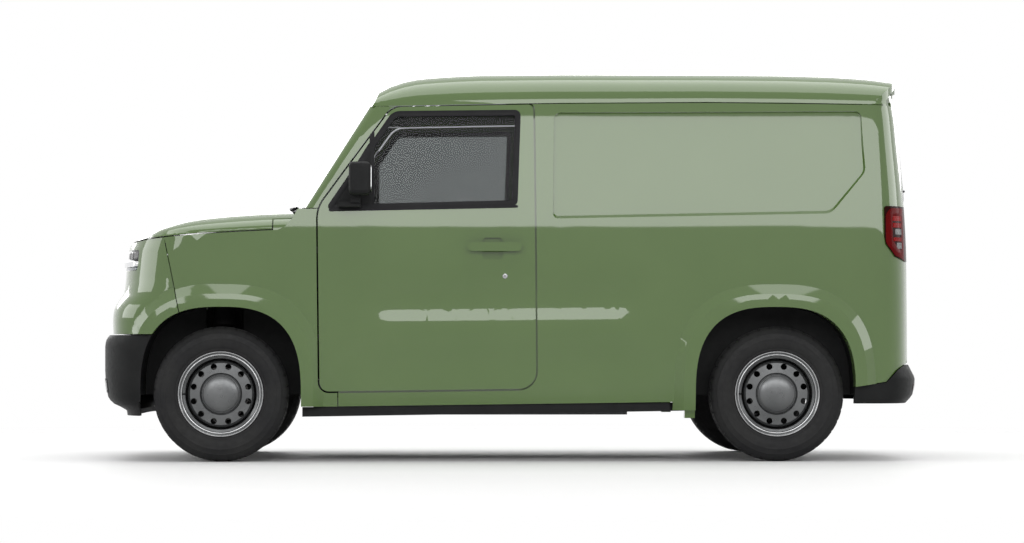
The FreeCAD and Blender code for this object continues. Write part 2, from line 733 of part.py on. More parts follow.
def roof_lining(x):
    """Section of the room under the roof at x."""
    edge = roof_point(x, 1.0, 0)
    top = roof_point(x, 0.0, ROOF_WALL).z
    half = [(edge.y - ROOF_WALL, ROOF_CUT_Z - 5), (edge.y - ROOF_WALL, edge.z + 20),
            (edge.y - 70, top - 46), (edge.y - 170, top - 12)]
    pts = half + [(-y, z) for y, z in reversed(half)]
    return Part.makePolygon([Vector(x, y, z) for y, z in pts + [pts[0]]])


def across_tail(point, rows, depth):
    """Grid across the whole tail, left to right, from a point function of the left half."""
    stations = TAIL_STATIONS + [((1 - f ** TAIL_POWER) ** (1 / TAIL_POWER), f) for f in (0.5, 0.3, 0.15)]
    left = [[point(fx, fy, r, depth) for r in rows] for fx, fy in stations]
    middle = [point(1, 0, r, depth) for r in rows]
    return left + [middle] + flipped(left)


def tail_slab(outer, inner, rows):
    return shell_between(across_tail(tail_point, rows, outer), across_tail(tail_point, rows, inner))


TAILGATE = [(-636, 446, 30), (636, 446, 30), (636, 1690, 95), (-636, 1690, 95)]
TAIL_WINDOW = [(-530, 1185, 55), (530, 1185, 55), (505, 1590, 70), (-505, 1590, 70)]


def make_tailgate():
    gate = tail_slab(0, TAILGATE_T, [420, 600, 800, 950, 1100, 1250, 1400, 1550, 1710])
    gate = biggest(gate.common(front_prism(TAILGATE, 1600, 1900)))
    eyes = [hinge_eye(GATE_PIN, y, 12, 1745, 26) for y in (-GATE_HINGE_Y, GATE_HINGE_Y)]
    return gate.cut(front_prism(TAIL_WINDOW, 1600, 1900)).fuse(eyes)


def make_tail_glass():
    pane = tail_slab(4, 4 + GLASS, [1150, 1300, 1450, 1620])
    return biggest(pane.common(front_prism(TAIL_WINDOW, 1600, 1900, grow=-FIT)))


def screen_grid(depth, over, wide=1.0):
    """Points of the screen at a depth, running past its top by over and past its sides by wide."""
    lines = []
    for t in (-1.0, -0.75, -0.5, -0.25, 0.0, 0.25, 0.5, 0.75, 1.0):
        line = []
        front = ROOF_FRONT_X - ROOF_BOW * (1 - t * t)
        top = roof_point(front, 0.92 * t, 0).z - SCREEN_LIP + over
        for v in (0.0, 0.25, 0.5, 0.75, 1.0):
            z = SCREEN_LOW_Z + v * (top - SCREEN_LOW_Z)
            half = half_width(min(z, 1660)) - PILLAR_Y - FIT
            line.append(Vector(screen_base_x(z, t * wide) + 3 + depth, t * wide * half, z))
        lines.append(line)
    return lines


def make_windscreen():
    """Curved screen between the pillars, from the scuttle to the roof edge."""
    return shell_between(screen_grid(0, 0), screen_grid(SCREEN_T, 0))


def pillar_x(z):
    """Edge of the screen at the pillar."""
    return -947 + (z - 1146) * 0.628


def screen_base_x(z, t):
    """The bowed screen at height z, t = 0 on the middle plane and 1 at the pillar."""
    return screen_x(z) + (pillar_x(z) - screen_x(z)) * t * t


def make_pillar():
    """Left screen pillar, from the wing to the roof, rounded from the side to the screen."""
    sections = []
    for z in (1144 + SHUT, 1300, 1450, 1612.6):
        w = half_width(z)
        back = -886 + (z - 1146) * 0.7238 + 60
        edge = pillar_x(z)
        turn = edge + 45
        low = w - PILLAR_T

        def at(x, y):
            return Vector(x, -y, z)

        c = math.cos(math.pi / 4)
        outer = Part.Arc(at(turn, w), at(turn - 45 * c, w - PILLAR_Y + PILLAR_Y * c),
                         at(edge, w - PILLAR_Y)).toShape()
        inner = Part.Arc(at(edge + PILLAR_T, w - PILLAR_Y),
                         at(turn - 15 * c, w - PILLAR_Y + 25 * c), at(turn, low)).toShape()
        corners = [(at(back, w), at(turn, w)), (at(edge, w - PILLAR_Y), at(edge + PILLAR_T, w - PILLAR_Y)),
                   (at(turn, low), at(back, low)), (at(back, low), at(back, w))]
        lines = [Part.LineSegment(p, q).toShape() for p, q in corners]
        sections.append(Part.Wire([lines[0], outer, lines[1], inner, lines[2], lines[3]]))
    solid = Part.makeLoft(sections, True, False)
    return biggest(solid.cut(side_prism(DOOR, -900, -500, grow=SEAM)))


def make_scuttle():
    """Dark strip between bonnet and screen, swept along the screen base, with the bonnet hinges."""
    sections = []
    top = SCREEN_LOW_Z
    for t in (-1.0, -0.75, -0.5, -0.25, 0.0, 0.25, 0.5, 0.75, 1.0):
        y = t * SCUTTLE_HALF
        back = screen_base_x(SCREEN_LOW_Z, t)
        front = BONNET_REAR_X + SCREEN_SWEEP * t * t + DOOR_GAP
        section = [(front, SCUTTLE_LOW_Z), (back + 40, SCUTTLE_LOW_Z), (back + 40, top), (back, top),
                   (front, top - 11), (front, SCUTTLE_LOW_Z)]
        sections.append(Part.makePolygon([Vector(x, y, z) for x, z in section]))
    strip = Part.makeLoft(sections, True, False)
    x, z = BONNET_PIN
    for y in (-BONNET_HINGE_Y, BONNET_HINGE_Y):
        strip = strip.cut(box(x - 20, x + 14, y - 18, y + 18, z - 16, z + 30))
        strip = strip.fuse(rod((x, y - 24, z), (x, y + 24, z), PIN_R))
    return strip


def hinge_eye(pin, y, half, lug_x, reach):
    """Eye round a cross pin, with a lug drawn to lug_x."""
    x, z = pin
    eye = rod((x, y - half, z), (x, y + half, z), PIN_R + 4)
    lug = box(min(x, lug_x), max(x, lug_x), y - half, y + half, z - reach, z + 3)
    bore = rod((x, y - half - 1, z), (x, y + half + 1, z), PIN_R + PIN_FIT)
    return eye.fuse(lug).cut(bore)


FRONT_BUMPER = smooth_curve([(206, -1780), (228, -1783), (258, -1842), (291, -1870),
                             (410, -1883.5), (520, -1883.5), (553, -1877), (573, -1862)])
REAR_BUMPER = smooth_curve([(262, 1838), (300, 1872), (371, 1883.5), (405, 1868), (437, 1850)])


def front_bumper_point(a, z, depth):
    fx, fy = nose_share(a, z)
    reach = NOSE_START_X - FRONT_BUMPER(z) - depth
    return Vector(NOSE_START_X - reach * fx, -(half_width(z) + 3 - depth) * fy, z)


def rear_bumper_point(fx, fy, z, depth):
    reach = REAR_BUMPER(z) - TAIL_START_X - depth
    return Vector(TAIL_START_X + reach * fx, -(half_width(z) + 2 - depth) * fy, z)


def make_front_bumper():
    """Bumper moulding with its chin, open over both wheels."""
    def lump(rows, angles, depth):
        sections = []
        for z in rows:
            left = [front_bumper_point(a, z, depth) for a in angles]
            back = [Vector(-1500, left[0].y, z)]
            half = back + left
            sections.append(half + [front_bumper_point(90, z, depth)] + flipped([half])[0][::-1])
        return strip_solid(sections)

    outer = lump([206, 217, 228, 243, 258, 274, 291, 320, 360, 410, 520, 540, 553, 564, 573],
                 NOSE_ANGLES, 0)
    inner = lump([190, 228, 258, 291, 410, 520, 590], NOSE_ANGLES[::2], FRONT_WALL)
    shape = outer.cut(inner)
    for y0, y1 in ((-900, -500), (500, 900)):
        shape = shape.cut(arch_prism(FRONT_AXLE_X, y0, y1))
    shape = shape.cut(liner_room())
    return biggest(shape.common(box(-2000, -1500, -900, 900, 200, 574)))


def make_rear_bumper():
    """Rear bumper moulding, drawn forward along each side to the wheel."""
    def lump(rows, depth):
        sections = []
        for z in rows:
            left = [rear_bumper_point(fx, fy, z, depth) for fx, fy in TAIL_STATIONS]
            half = [Vector(x, left[0].y, z) for x in (1500, 1560)] + left
            sections.append(half + [rear_bumper_point(1, 0, z, depth)] + flipped([half])[0][::-1])
        return strip_solid(sections)

    outer = lump([262, 280, 300, 320, 345, 371, 388, 405, 420, 437], 0)
    shape = outer.cut(lump([250, 300, 371, 405, 450], WALL - 5))
    x0, x1, half = TOW_BEAM
    shape = shape.cut(box(x0 - 30, x1 + FIT, -half - FIT, half + FIT, 370, 450))
    return biggest(shape.common(side_prism(REAR_BUMPER_SIDE, -900, 900)))


def make_under_sill():
    sill = side_prism([(-955, 203), (776, 229), (776, 267), (-796, 246), (-955, 246)], -768, -700)
    return sill.cut(box(710, 800, -800, -742, 190, 300))


def make_door():
    skin = side_slab(-960, 200, 0, DOOR_SKIN, ROWS_LOW + ROWS_HIGH)
    skin = skin.common(side_prism(DOOR, -900, -500))
    core = side_slab(-960, 200, DOOR_SKIN, DOOR_DEPTH, ROWS_LOW + ROWS_HIGH)
    core = core.common(side_prism(DOOR, -900, -500, grow=-DOOR_LAP))
    door = skin.fuse(core)
    door = door.cut(side_prism(WINDOW, -900, -500))
    bowl = side_slab(-300, 100, -30, HANDLE_BOWL, [880, 940, 1000, 1060])
    bowl = bowl.common(side_prism([(-141, 915, 20), (-47, 915, 20), (-47, 1013, 20),
                                   (-141, 1013, 20)], -900, -700))
    return biggest(door.cut([bowl] + door_hinge_rooms()))


def door_hinge_rooms():
    """Bores for the hinge pins, and slots for the swan necks."""
    x, y = DOOR_PIN
    out = []
    for z in DOOR_HINGE_Z:
        out.append(rod((x, y, z - PIN_HALF - 2), (x, y, z + PIN_HALF + 2), PIN_R + PIN_FIT))
        half = NECK_HALF + 3
        out.append(box(x - 60, x + NECK_T / 2 + 4, y - NECK_T / 2 - 0.3, y + 90, z - half, z + half))
    return out


def make_door_hinges():
    """Swan necks of the left door with their pins, standing out from the cab's front wall."""
    x, y = DOOR_PIN
    side = -CAB_HALF
    necks = []
    for z in DOOR_HINGE_Z:
        low = z - NECK_HALF
        high = z + NECK_HALF
        neck = box(x - NECK_T / 2, x + NECK_T / 2, y, side, low, high)
        foot = box(CAB_WALL_X - 37, x + NECK_T / 2, side - NECK_T, side, low, high)
        necks.append(neck.fuse([foot, rod((x, y, z - PIN_HALF), (x, y, z + PIN_HALF), PIN_R)]))
    return necks


def make_door_glass():
    pane = side_slab(-960, 200, 7, 7 + GLASS, [1100, 1250, 1400, 1500, 1620])
    pane = pane.common(side_prism(WINDOW, -900, -500, grow=-FIT))
    return biggest(pane.cut(box(-960, SAIL_REAR_X, -900, -500, 1000, SAIL_TOP_Z)))


def make_handle():
    """Pull handle: a bar over the bowl, standing on two feet."""
    rows = [900, 940, 1000, 1060]
    bar = side_slab(-300, 100, -34, -16, rows)
    bar = bar.common(side_prism([(-206, 952, 19), (37, 952, 19), (37, 992, 19), (-206, 992, 19)],
                                -900, -700))
    feet = side_slab(-300, 100, -20, -FIT, rows)
    for x0, x1 in ((-206, -148), (-40, 37)):
        foot = side_prism([(x0, 952, 17), (x1, 952, 17), (x1, 992, 17), (x0, 992, 17)], -900, -700)
        bar = bar.fuse(feet.common(foot))
    return bar


def make_mirror():
    """Door mirror on a short foot, with the sail plate that fills the window's front corner."""
    head = box(-741, -642, -1010, -852, 1200, 1347)
    head = head.makeFillet(22, head.Edges)
    stalk = box(-735, -690, -905, -845, 1168, 1206)
    arm = box(-790, -690, -885, -(half_width(1160) - 8), 1150, 1172)
    sail = side_slab(-960, 200, 5, 17, [1100, 1250, 1400, 1500, 1620])
    sail = sail.common(side_prism(WINDOW, -900, -500, grow=-FIT))
    sail = sail.common(box(-960, SAIL_REAR_X - FIT, -900, -500, 1000, SAIL_TOP_Z - FIT))
    return head.fuse([stalk, arm, sail])


def make_floor():
    """Floors of cab and load space, the cab's front wall and the door hinges on it."""
    low = CAB_FLOOR_Z - FLOOR_T
    cab = box(CAB_WALL_X, 110, -CAB_HALF, CAB_HALF, low, CAB_FLOOR_Z)
    wall = box(CAB_WALL_X - 37, CAB_WALL_X, -CAB_HALF, CAB_HALF, low, SCUTTLE_LOW_Z)
    step = box(110, 150, -CAB_HALF, CAB_HALF, low, LOAD_FLOOR_Z)
    load = box(110, LOAD_FLOOR_END_X - 40, -738, 738, LOAD_FLOOR_Z - FLOOR_T, LOAD_FLOOR_Z)
    end = box(LOAD_FLOOR_END_X - 40, LOAD_FLOOR_END_X, -720, 720, LOAD_FLOOR_Z - FLOOR_T, LOAD_FLOOR_Z)
    floor = cab.fuse([wall, step, load, end])
    house = arch_prism(REAR_AXLE_X, -900, -REAR_LINER_Y + FIT, REAR_ARCH_SHIFT, grow=LINER_T + 2 + FIT)
    floor = floor.cut([house, mirror(house)])
    for hinge in make_door_hinges():
        floor = floor.fuse([hinge, mirror(hinge)])
    return floor


def liner(x0, shift, wall_y, panel_t, hole=None):
    """Wheel housing: a shell over the wheel closed by an inner wall, left side."""
    outer = arch_prism(x0, -900, -wall_y, shift, grow=LINER_T + 2)
    inner = arch_prism(x0, -901, -wall_y - LINER_T, shift, grow=2)
    shape = outer.cut(inner)
    shape = shape.common(side_slab(x0 - 420, x0 + 420, panel_t + 1, 420,
                                   [100, 250, 400, 600, 860, 1000]))
    shape = shape.common(box(x0 - 500, x0 + 500, -900, -300, LOW_LINER_Z, 900))
    if hole:
        shape = shape.cut(hole)
    return biggest(shape)


def make_rails():
    """Two long rails with the cross beams and the front spring towers."""
    under_cab = CAB_FLOOR_Z - FLOOR_T
    under_load = LOAD_FLOOR_Z - FLOOR_T
    path = [(-1770, 400), (-1045, 400), (-935, 285), (600, 285), (690, 380), (1770, 380),
            (1770, under_load), (735, under_load), (640, under_cab), (CAB_WALL_X - 37, under_cab),
            (-990, 460), (-1770, 460)]
    rail = side_prism(path, -RAIL_Y1, -RAIL_Y0)
    tower = box(FRONT_AXLE_X - 80, FRONT_AXLE_X + 80, -RAIL_Y1, -RAIL_Y1 + 22, 430, TOWER_Z + 12)
    plate = box(FRONT_AXLE_X - 80, FRONT_AXLE_X + 80, -640, -RAIL_Y1 + 22, TOWER_Z, TOWER_Z + 12)
    rail = rail.fuse([tower, plate])
    beams = [box(-1770, -1720, -600, 600, 400, 460), box(-985, -945, -410, 410, 400, 440),
             box(556, 600, -410, 410, 285, under_cab), box(TOW_BEAM[0], TOW_BEAM[1], -TOW_BEAM[2], TOW_BEAM[2], 380, under_load)]
    holes = [rod((1700, y, z), (1800, y, z), TOW_HOLE_R) for y in (-TOW_HOLE_Y, TOW_HOLE_Y)
             for z in (TOW_HOLE_Z - 15, TOW_HOLE_Z + 15)]
    return rail.fuse([mirror(rail)] + beams).cut(holes)


def make_battery():
    pack = box(-860, 540, -395, 395, BATTERY_LOW_Z, CAB_FLOOR_Z - FLOOR_T)
    upright = [e for e in pack.Edges if abs(e.Vertexes[0].Z - e.Vertexes[1].Z) > 20]
    return pack.makeFillet(12, upright)


def axis_point(t):
    """Point on the left steering axis, t = 0 at the lower pivot, 1 at the upper one."""
    y = STEER_LOW[0] + (STEER_TOP[0] - STEER_LOW[0]) * t
    z = STEER_LOW[1] + (STEER_TOP[1] - STEER_LOW[1]) * t
    return (FRONT_AXLE_X, -y, z)


def make_front_suspension():
    """Cross frame with both lower arms and the steering rack, and the two springs."""
    x0 = FRONT_AXLE_X
    frame = box(x0 - 80, x0 + 70, -330, 330, 190, 235)
    frame = frame.fuse([box(x0 - 80, x0 - 40, -RAIL_Y1 + 2, -300, 195, 400),
                        box(x0 - 80, x0 - 40, 300, RAIL_Y1 - 2, 195, 400)])
    low = axis_point(-0.06)
    arm = rod((x0 - 70, -300, 205), low, 13)
    arm = arm.fuse([rod((x0 + 60, -300, 205), low, 13),
                    rod(axis_point(-0.08), axis_point(-FIT / 490), 19)])
    frame = frame.fuse([arm, mirror(arm)])
    spring = rod(axis_point(0.885), axis_point(1.2), 48).common(
        box(x0 - 90, x0 + 90, -700, -400, 500, TOWER_Z))
    rack = rod((x0 + 115, -400, 222), (x0 + 115, 400, 222), 22)
    ties = [rod((x0 + 115, s * TIE_END_Y, 205), (x0 + 115, s * 395, 222), 8) for s in (-1, 1)]
    mounts = [box(x0 + 60, x0 + 130, y, y + 40, 200, 235) for y in (-290, 250)]
    frame = frame.fuse(mounts + [rack] + ties)
    return [frame, spring, mirror(spring)]


def make_knuckle():
    """Left front knuckle with its stub, brake disc, steering arm and damper tube."""
    x0 = FRONT_AXLE_X
    shape = rod((x0, -640, AXLE_Z), (x0, -704, AXLE_Z), 44)
    return shape.fuse([rod((x0, -704, AXLE_Z), (x0, -716, AXLE_Z), 122),
                       rod((x0, -716, AXLE_Z), (x0, -STUB_Y, AXLE_Z), STUB_R),
                       rod(axis_point(0), axis_point(0.2), 16),
                       rod(axis_point(0.1), (x0, -655, AXLE_Z - 20), 22),
                       rod((x0 + 10, -650, AXLE_Z - 40), (x0 + 115, -612, 242), 9),
                       rod((x0 + 115, -612, 230), (x0 + 115, -612, 252), 13),
                       rod((x0, -648, AXLE_Z + 20), (x0, -596, 400), 18),
                       rod((x0, -598, 370), (x0, -570, 600), 22)])


def make_rear_axle():
    """Beam axle with its drive unit, the brake drums and stubs, and the leaf springs."""
    x0 = REAR_AXLE_X
    beam = rod((x0, -650, AXLE_Z), (x0, 650, AXLE_Z), 32)
    beam = beam.fuse([rod((x0, -170, AXLE_Z), (x0, 150, AXLE_Z), 105),
                      rod((x0 - 120, -120, AXLE_Z + 10), (x0 - 120, 60, AXLE_Z + 10), 75),
                      box(x0 - 120, x0, -110, 40, AXLE_Z - 60, AXLE_Z + 80)])
    for side in (-1, 1):
        pad = box(x0 - 45, x0 + 45, side * SPRING_Y - 32, side * SPRING_Y + 32, AXLE_Z - 20,
                  AXLE_Z + 36)
        beam = beam.fuse([rod((x0, side * 640, AXLE_Z), (x0, side * 716, AXLE_Z), 112),
                          rod((x0, side * 716, AXLE_Z), (x0, side * STUB_Y, AXLE_Z), STUB_R), pad])
    springs = []
    for side in (-1, 1):
        y = side * SPRING_Y - 30
        sag = [(x0 - 500, 15.8), (x0 - 300, 3), (x0, -8), (x0 + 300, 3), (x0 + 480, 15.8)]
        edges = []
        ends = []
        for lift in (AXLE_Z + 58, AXLE_Z + 44):
            line = Part.BSplineCurve()
            line.interpolate([Vector(x, y, lift + dz) for x, dz in sag])
            edges.append(line.toShape())
            ends.append([Vector(x, y, lift + dz) for x, dz in (sag[0], sag[-1])])
        edges += [Part.LineSegment(ends[0][k], ends[1][k]).toShape() for k in (0, 1)]
        wire = Part.Wire(Part.__sortEdges__(edges))
        springs.append(Part.Face(wire).extrude(Vector(0, 60, 0)))
    return [beam] + springs


def revolve_profile(points, x0, side):
    """Solid turned round a wheel axis from (radius, distance from the tyre's middle) points."""
    pts = [Vector(x0, side * (HALF_TRACK + w), AXLE_Z + r) for r, w in points]
    face = Part.Face(Part.makePolygon(pts + [pts[0]]))
    return face.revolve(Vector(x0, 0, AXLE_Z), Vector(0, 1, 0), 360)


def make_rim(x0, side):
    bore = STUB_R + FIT
    profile = [(bore, 8), (bore, 42), (0, 42), (0, 62), (45, 59.5), (CAP_R - 10, 53),
               (CAP_R, 44), (CAP_R + 4, 41), (CAP_R + 10, 46), (140, 43), (149, 36), (157, 14),
               (162, 50), (172, 58), (175, 66), (183, 66), (RIM_R - 3, 72.5), (RIM_R, 69),
               (182, 61), (177, 42), (RIM_WELL_R + 1, 26), (RIM_WELL_R + 1, -22), (177, -38),
               (182, -62), (RIM_R - 1, -69), (RIM_R - 1, -72), (171, -62), (161, -24), (150, 6),
               (138, 33), (100, 35), (60, 8)]
    rim = revolve_profile(profile, x0, side)
    holes = []
    for k in range(VENT_N):
        a = 2 * math.pi * (k + 0.5) / VENT_N
        x = x0 + VENT_RING_R * math.cos(a)
        z = AXLE_Z + VENT_RING_R * math.sin(a)
        holes.append(rod((x, side * (HALF_TRACK - 10), z), (x, side * (HALF_TRACK + 70), z), VENT_R))
    return rim.cut(holes)


def make_tyre(x0, side):
    half = TYRE_W / 2
    outer = [(182, 60.5), (242, half), (292, 68), (TYRE_R, 46)]
    outer = outer + [(r, -w) for r, w in reversed(outer)]
    inner = [(182, -50), (285, -55), (285, 55), (182, 50)]
    return revolve_profile(outer + inner, x0, side)


def make_dashboard():
    board = side_prism([(CAB_WALL_X, 780, 0), (CAB_WALL_X, 1079, 0), (-780, 1075, 30), (-700, 1035, 40),
                        (-720, 900, 30), (-790, 780, 20)], -690, 690)
    column = rod((-740, COLUMN[1], COLUMN[2] - 60), COLUMN, 24)
    return board.fuse(column)


def make_steering_wheel():
    centre = Vector(*COLUMN)
    axis = Vector(*COLUMN_DIR)
    axis.normalize()
    hub = Part.makeCylinder(42, 30, centre + axis * 1.0, axis)
    mid = centre + axis * 22
    across = Vector(0, 1, 0)
    up = axis.cross(across)
    down = -up if up.z > 0 else up
    corners = []
    for k in range(8):
        a = math.radians(45 * k + 22.5)
        corners.append(mid + across * (WHEEL_R + 13 * math.cos(a)) + axis * (13 * math.sin(a)))
    ring = Part.Face(Part.makePolygon(corners + [corners[0]])).revolve(mid, axis, 360)
    return ring.fuse([hub] + [Part.makeCylinder(10, WHEEL_R, mid, d) for d in (across, -across, down)])


def make_seat(y):
    base = box(-330, 60, y - 190, y + 190, CAB_FLOOR_Z, 560)
    cushion = box(-400, 60, y - 240, y + 240, 560, 690)
    cushion = cushion.makeFillet(40, cushion.Edges)
    back = side_prism([(-60, 640, 30), (50, 640, 30), (98, 1180, 40), (0, 1180, 40)], y - 235, y + 235)
    head = side_prism([(18, 1190, 25), (92, 1190, 25), (100, 1350, 30), (36, 1350, 30)],
                      y - 120, y + 120)
    neck = box(45, 65, y - 60, y + 60, 1150, 1240)
    return base.fuse([cushion, back, head, neck])


def make_partition():
    half = [(-700, LOAD_FLOOR_Z), (-738, LOAD_FLOOR_Z + 60), (-742, 1000), (-728, 1200), (-705, 1430),
            (-672, 1590), (-600, 1690), (-400, 1735)]
    return front_prism(half + [(-y, z) for y, z in reversed(half)], 112, 130)


def make_wipers():
    out = []
    strip = make_scuttle()
    for y0, y1 in ((-520, -40), (60, 520)):
        ends = [(screen_base_x(SCREEN_LOW_Z, y / SCUTTLE_HALF) - 10, y, SCREEN_LOW_Z + 6)
                for y in (y0, y1)]
        foot = ends[0] if y0 < 0 else ends[1]
        foot = (foot[0], foot[1] * 0.97, foot[2])
        spindle = rod((foot[0], foot[1], SCREEN_LOW_Z - 12), foot, 7)
        out.append(biggest(rod(ends[0], ends[1], 5).fuse(spindle).cut(strip)))
    return out


def make_nose_and_wings():
    band = make_lamp_band(14, 40, -FIT)
    pocket = make_lamp_band(-30, 60, 0)
    lamps = []
    for side in (-1, 1):
        y = side * 560
        spot = front_prism([(y - 72, 880, 20), (y + 72, 880, 20), (y + 72, 950, 20), (y - 72, 950, 20)],
                           -1900, -1500)
        lamps.append(make_lamp_band(4, 36, -FIT).common(spot))
        band = band.cut(spot)
    write("front_panel", make_front_panel().cut(pocket))
    write("wings", pair(make_wing()))
    write("lamp_band", band)
    write("headlamps", lamps)


def make_sides():
    panel = make_side_panel()
    step = box(-790, 104, -745, -695, 263, CAB_FLOOR_Z - FLOOR_T)
    write("side_panels", pair(panel.fuse(step)))
    write("tail_lamps", pair(make_tail_lamp()))
    write("under_sills", pair(make_under_sill()))
    write("pillars", pair(make_pillar()))


def make_doors():
    pieces = (("door", make_door()), ("door_glass", make_door_glass()), ("handle", make_handle()),
              ("mirror", make_mirror()))
    for name, shape in pieces:
        write(name + "_left", shape)
        write(name + "_right", mirror(shape))


def make_wheels():
    for end, x0 in (("front", FRONT_AXLE_X), ("rear", REAR_AXLE_X)):
        for side, sign in (("left", -1), ("right", 1)):
            write("rim_%s_%s" % (end, side), make_rim(x0, sign))
            write("tyre_%s_%s" % (end, side), make_tyre(x0, sign))
    knuckle = make_knuckle()
    write("knuckle_left", knuckle)
    write("knuckle_right", mirror(knuckle))
    write("front_suspension", make_front_suspension())
    write("rear_axle", make_rear_axle())


def make_body():
    write("bonnet", make_bonnet())
    write("roof_panel", make_roof())
    write("windscreen", make_windscreen())
    write("scuttle", [make_scuttle()] + make_wipers())
    write("front_bumper", make_front_bumper())
    write("rear_bumper", make_rear_bumper())
    write("tailgate", make_tailgate())
    write("tailgate_glass", make_tail_glass())
    write("floor_pan", make_floor())
    tower = box(FRONT_AXLE_X - 86, FRONT_AXLE_X + 86, -646, -450, 500, 900)
    notch = box(REAR_AXLE_X - 60, REAR_AXLE_X + 60, -640, -550, 200, AXLE_Z + 110)
    write("arch_liners_front", pair(liner(FRONT_AXLE_X, 0, FRONT_LINER_Y, FRONT_WALL, tower)))
    write("arch_liners_rear", pair(liner(REAR_AXLE_X, REAR_ARCH_SHIFT, REAR_LINER_Y, WALL, notch)))
    write("chassis_rails", make_rails())
    write("battery", make_battery())


def make_cab():
    write("dashboard", make_dashboard())
    write("steering_wheel", make_steering_wheel())
    write("seats", [make_seat(-SEAT_Y), make_seat(SEAT_Y)])
    write("partition", make_partition())


make_nose_and_wings()
make_sides()
make_doors()
make_wheels()
make_body()
make_cab()
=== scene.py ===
"""Looks of a compact panel van: materials, trim, tyres, lamps, seats, light and camera."""
import json
import math
from functools import partial

import bpy
from mathutils import Matrix, Vector


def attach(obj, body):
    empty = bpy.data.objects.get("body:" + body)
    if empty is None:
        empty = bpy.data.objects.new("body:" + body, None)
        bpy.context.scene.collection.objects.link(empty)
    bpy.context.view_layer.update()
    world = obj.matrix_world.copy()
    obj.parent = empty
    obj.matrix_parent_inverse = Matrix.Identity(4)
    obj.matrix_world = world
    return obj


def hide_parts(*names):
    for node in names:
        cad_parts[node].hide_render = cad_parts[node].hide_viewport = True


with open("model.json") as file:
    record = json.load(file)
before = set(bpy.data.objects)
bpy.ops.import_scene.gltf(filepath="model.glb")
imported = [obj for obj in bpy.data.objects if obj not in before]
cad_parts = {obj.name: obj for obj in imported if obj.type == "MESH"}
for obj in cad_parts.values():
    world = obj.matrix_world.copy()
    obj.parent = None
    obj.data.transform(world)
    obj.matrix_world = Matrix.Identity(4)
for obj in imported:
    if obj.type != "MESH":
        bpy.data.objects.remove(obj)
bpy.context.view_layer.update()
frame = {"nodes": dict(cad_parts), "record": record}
nodes = frame["nodes"]

# The wheels, in metres.
FRONT_AXLE_X = -1.3225
REAR_AXLE_X = 1.1975
AXLE_Z = 0.306
HALF_TRACK = 0.720
WHEELS = (("front_left", FRONT_AXLE_X, -1), ("front_right", FRONT_AXLE_X, 1),
          ("rear_left", REAR_AXLE_X, -1), ("rear_right", REAR_AXLE_X, 1))

# The body, in millimetres. Nose and tail curve in from their start to the middle plane.
NOSE_START_X = -1400.0
TAIL_START_X = 1600.0
TAIL_POWER = 3.5
ROOF_POWER = 5.5
ROOF_BOW = 10.0
ROOF_FRONT_X = -655.0
BODY_LEAN = 0.0105
RECESS = 16.0
WINDOW = [(-848, 1141, 14), (-545, 1587, 60), (31, 1594, 22), (15, 1163, 20)]
TAIL_WINDOW = [(-530, 1185, 55), (530, 1185, 55), (505, 1590, 70), (-505, 1590, 70)]

SIDES = ((-1, "left"), (1, "right"))
DOORS = ("door_left", "door_right")


def smooth_curve(table):
    """Monotone cubic through (u, value) pairs, as a function."""
    us = [p[0] for p in table]
    vs = [p[1] for p in table]
    n = len(us)
    d = [(vs[i + 1] - vs[i]) / (us[i + 1] - us[i]) for i in range(n - 1)]
    m = [d[0]] + [0.0] * (n - 2) + [d[-1]]
    for i in range(1, n - 1):
        if d[i - 1] * d[i] > 0:
            m[i] = 2 * d[i - 1] * d[i] / (d[i - 1] + d[i])

    def value(u):
        if u <= us[0]:
            return vs[0] + m[0] * (u - us[0])
        if u >= us[-1]:
            return vs[-1] + m[-1] * (u - us[-1])
        i = max(k for k in range(n - 1) if us[k] <= u)
        h = us[i + 1] - us[i]
        t = (u - us[i]) / h
        return ((1 + 2 * t) * (1 - t) ** 2 * vs[i] + t * (1 - t) ** 2 * h * m[i]
                + t * t * (3 - 2 * t) * vs[i + 1] + t * t * (t - 1) * h * m[i + 1])

    return value


half_width = smooth_curve([(150, 745), (254, 778), (330, 791), (450, 799), (600, 804), (860, 806),
                           (1000, 803), (1150, 796), (1300, 784), (1450, 766), (1600, 739),
                           (1650, 727)])
nose_x = smooth_curve([(560, -1846), (640, -1848), (690, -1845), (735, -1824), (772, -1804),
                       (867, -1799), (960, -1790), (992, -1778), (1160, -1700)])
nose_power = smooth_curve([(200, 4.6), (640, 4.6), (700, 4.2), (840, 3.1), (960, 3.0), (1200, 3.0)])
tail_x = smooth_curve([(250, 1843), (436, 1846), (897, 1843), (1189, 1830), (1340, 1816),
                       (1463, 1803), (1591, 1790), (1691, 1769)])
bumper_front = smooth_curve([(206, -1780), (228, -1783), (258, -1842), (291, -1870), (410, -1883.5),
                             (520, -1883.5), (553, -1877), (573, -1862)])
bumper_rear = smooth_curve([(262, 1838), (300, 1872), (371, 1883.5), (405, 1868), (437, 1850)])
roof_edge_z = smooth_curve([(-700, 1610), (-505, 1614), (123, 1627), (917, 1634), (1749, 1624)])
roof_top_z = smooth_curve([(-655, 1671), (-600, 1712), (-560, 1733), (-500, 1755), (-450, 1767),
                           (-330, 1779), (-140, 1789), (230, 1793), (885, 1793), (1260, 1790),
                           (1448, 1785), (1640, 1773), (1790, 1752)])
bonnet_edge_z = smooth_curve([(-1800, 982), (-1760, 992), (-1669, 1009), (-1583, 1017),
                              (-1419, 1031), (-1066, 1050), (-900, 1056)])
bonnet_rise = smooth_curve([(-1790, 8), (-1754, 12), (-1699, 30), (-1583, 76), (-1419, 98),
                            (-1145, 106), (-950, 104)])
screen_x = smooth_curve([(1100, -1076), (1182, -1023), (1290, -947), (1447, -843), (1637, -693),
                         (1700, -642)])


